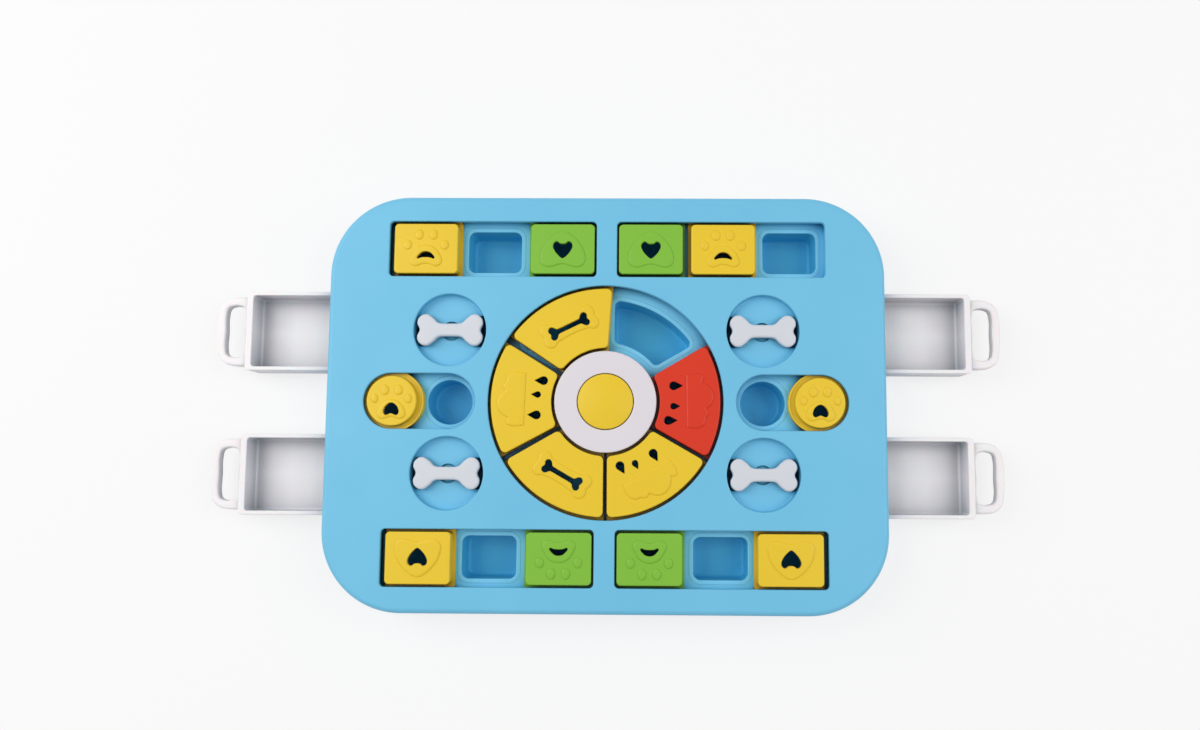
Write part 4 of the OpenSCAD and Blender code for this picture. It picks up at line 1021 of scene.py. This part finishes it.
paw = make_straight_cover([PAW_PAD] + PAW_TOES, [PAW_MOUTH])
heart = make_straight_cover([HEART_PAD], [HEART_HOLE])
COVERS = {
    "cover_rear_left_yellow": (paw, "yellow_abs", 0),
    "cover_rear_left_green": (heart, "green_abs", 0),
    "cover_rear_right_green": (heart, "green_abs", 0),
    "cover_rear_right_yellow": (paw, "yellow_abs", 0),
    "cover_front_left_yellow": (heart, "yellow_abs", 180),
    "cover_front_left_green": (paw, "green_abs", 180),
    "cover_front_right_green": (paw, "green_abs", 180),
    "cover_front_right_yellow": (heart, "yellow_abs", 180),
}
for node, (pattern, finish, turn) in COVERS.items():
    cover = twin(pattern, turn=turn, **middle(node))
    dress(cover, node.replace("cover", "slider"), node, finish, node)
discard(paw, heart)

round_paw = make_round_cover()
for side in ("left", "right"):
    node = f"round_cover_{side}"
    dress(twin(round_paw, **middle(node)), f"round_slider_{side}", node, "yellow_abs", node)
discard(round_paw)

bone_sector = make_sector_cover([BONE_PAD], [BONE_HOLE], RELIEF_Z)
melon_sector = make_sector_cover([MELON], PIPS, CAP_Z)
SECTORS = {
    "wheel_cover_bone_rear": (bone_sector, "yellow_abs", 116.2),
    "wheel_cover_melon_left": (melon_sector, "yellow_abs", 178.4),
    "wheel_cover_bone_front": (bone_sector, "yellow_abs", 240),
    "wheel_cover_melon_front": (melon_sector, "yellow_abs", 300.3),
    "wheel_cover_red": (melon_sector, "red_abs", 0.7),
}
for node, (pattern, finish, turn) in SECTORS.items():
    dress(twin(pattern, turn=turn), node.replace("cover", "sector"), node, finish, node)
discard(bone_sector, melon_sector)

dress(make_hub_ring(), "hub_collar", "board", "white_abs", "hub_ring")
dress(make_button(), "press_button", "hub_button", "yellow_abs", "hub_button")

bellows = dress(make_bellows(), "squeeze_bellows", "board", "soft_white", "squeaker_bellows")
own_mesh(bellows)

bone = make_bone()
drawer = make_drawer()
for quarter, x, y in QUARTERS:
    node = f"bone_{quarter}"
    dress(twin(bone, x=x * BONE_X, y=y * BONE_Y), f"turning_{node}", node, "bone_white", node)
    node = f"drawer_{quarter}"
    pulled = twin(drawer, y=y * DRAWER_Y, turn=0 if x > 0 else 180)
    dress(pulled, f"pull_{node}", node, "frosted_pp", node)
discard(bone, drawer)

# Nodes that keep their own shapes
KEPT_NODES = {
    "base_screws": "screw_steel", "tray_screws": "screw_steel",
    "hub_ring_screws": "screw_steel", "squeaker_reed": "white_abs"}
for quarter, x, y in QUARTERS:
    KEPT_NODES[f"bone_pivot_{quarter}"] = "screw_steel"
for node, finish in KEPT_NODES.items():
    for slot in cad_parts[node].material_slots:
        slot.material = FINISHES[finish]

# ---------------------------------------------------------------- floor, light, camera

# The camera, in metres and degrees, as fitted to the photograph
CAMERA_PLACE = Vector((0.02764, -0.05461, 0.62646))
CAMERA_TURNS = ((4.99370, "X"), (0.56799, "Y"), (0.31263, "Z"))
PHOTO_W, PHOTO_H = 1200, 730
FOCAL_PX = 854.411
CENTRE_PX = (636.859, 406.516)
SENSOR_MM = 36.0

FLOOR_M = 12.0
FLOOR_DROP = 0.05     # keeps the floor clear of the undersides of the feet
FLOOR_GLOW = 0.75     # share of plain white in the floor that the camera sees
WORLD_LIGHT, WORLD_SEEN = 0.35, 0.86
SOFT_BOX_M = (1.0, 1.4)


def seen_share(tree, low, high):
    """A number that is high where a thing is seen, by the camera or in a reflection, and low
    where it lights other things."""
    path = add_node(tree, "ShaderNodeLightPath")
    seen = add_node(tree, "ShaderNodeMath", {"operation": "MAXIMUM"})
    tree.links.new(path.outputs["Is Camera Ray"], seen.inputs[0])
    tree.links.new(path.outputs["Is Glossy Ray"], seen.inputs[1])
    share = add_node(
        tree, "ShaderNodeMapRange", {"To Min": low, "To Max": high}, {"Value": seen.outputs[0]})
    return share.outputs[0]


def pale_floor():
    bpy.ops.mesh.primitive_plane_add(size=FLOOR_M, location=(0, 0, -FLOOR_DROP * MM))
    floor = settle(bpy.context.active_object)
    floor.name = "floor"
    paint = bpy.data.materials.new("matt_paper_white")
    paint.use_nodes = True
    tree = paint.node_tree
    tree.nodes.clear()
    paper = add_node(tree, "ShaderNodeBsdfDiffuse", {"Color": linear("#F2F2F2")})
    white = add_node(tree, "ShaderNodeEmission", {"Color": (1, 1, 1, 1), "Strength": 1.0})
    mixed = add_node(
        tree, "ShaderNodeMixShader", links={"Fac": seen_share(tree, 0.0, FLOOR_GLOW)})
    tree.links.new(paper.outputs[0], mixed.inputs[1])
    tree.links.new(white.outputs[0], mixed.inputs[2])
    add_node(tree, "ShaderNodeOutputMaterial", links={"Surface": mixed.outputs[0]})
    floor.data.materials.append(paint)


def soft_box(name, place, power):
    """A soft lamp that looks at the middle of the board."""
    bpy.ops.object.light_add(type="AREA", location=place)
    lamp = bpy.context.active_object
    lamp.name = name
    lamp.data.shape = "RECTANGLE"
    lamp.data.size, lamp.data.size_y = SOFT_BOX_M
    lamp.data.energy = power
    lamp.rotation_euler = (-Vector(place)).to_track_quat("-Z", "Y").to_euler()


pale_floor()
soft_box("softbox_left", (-1.1, 0.35, 1.1), 13.9)
soft_box("softbox_right", (1.2, 0.1, 1.2), 10.4)

world = bpy.data.worlds.new("studio")
world.use_nodes = True
background = world.node_tree.nodes["Background"]
background.inputs["Color"].default_value = (1, 1, 1, 1)
world.node_tree.links.new(
    seen_share(world.node_tree, WORLD_LIGHT, WORLD_SEEN), background.inputs["Strength"])
bpy.context.scene.world = world

camera_data = bpy.data.cameras.new("camera")
camera = bpy.data.objects.new("camera", camera_data)
bpy.context.scene.collection.objects.link(camera)
turns = Matrix.Identity(4)
for degrees, axis in CAMERA_TURNS:
    turns = turns @ Matrix.Rotation(math.radians(degrees), 4, axis)
camera.matrix_world = Matrix.Translation(CAMERA_PLACE) @ turns
camera_data.sensor_width = SENSOR_MM
camera_data.lens = FOCAL_PX * SENSOR_MM / PHOTO_W
camera_data.shift_x = (PHOTO_W / 2 - CENTRE_PX[0]) / PHOTO_W
camera_data.shift_y = (CENTRE_PX[1] - PHOTO_H / 2) / PHOTO_W
bpy.context.scene.camera = camera
bpy.context.scene.view_settings.view_transform = "Standard"
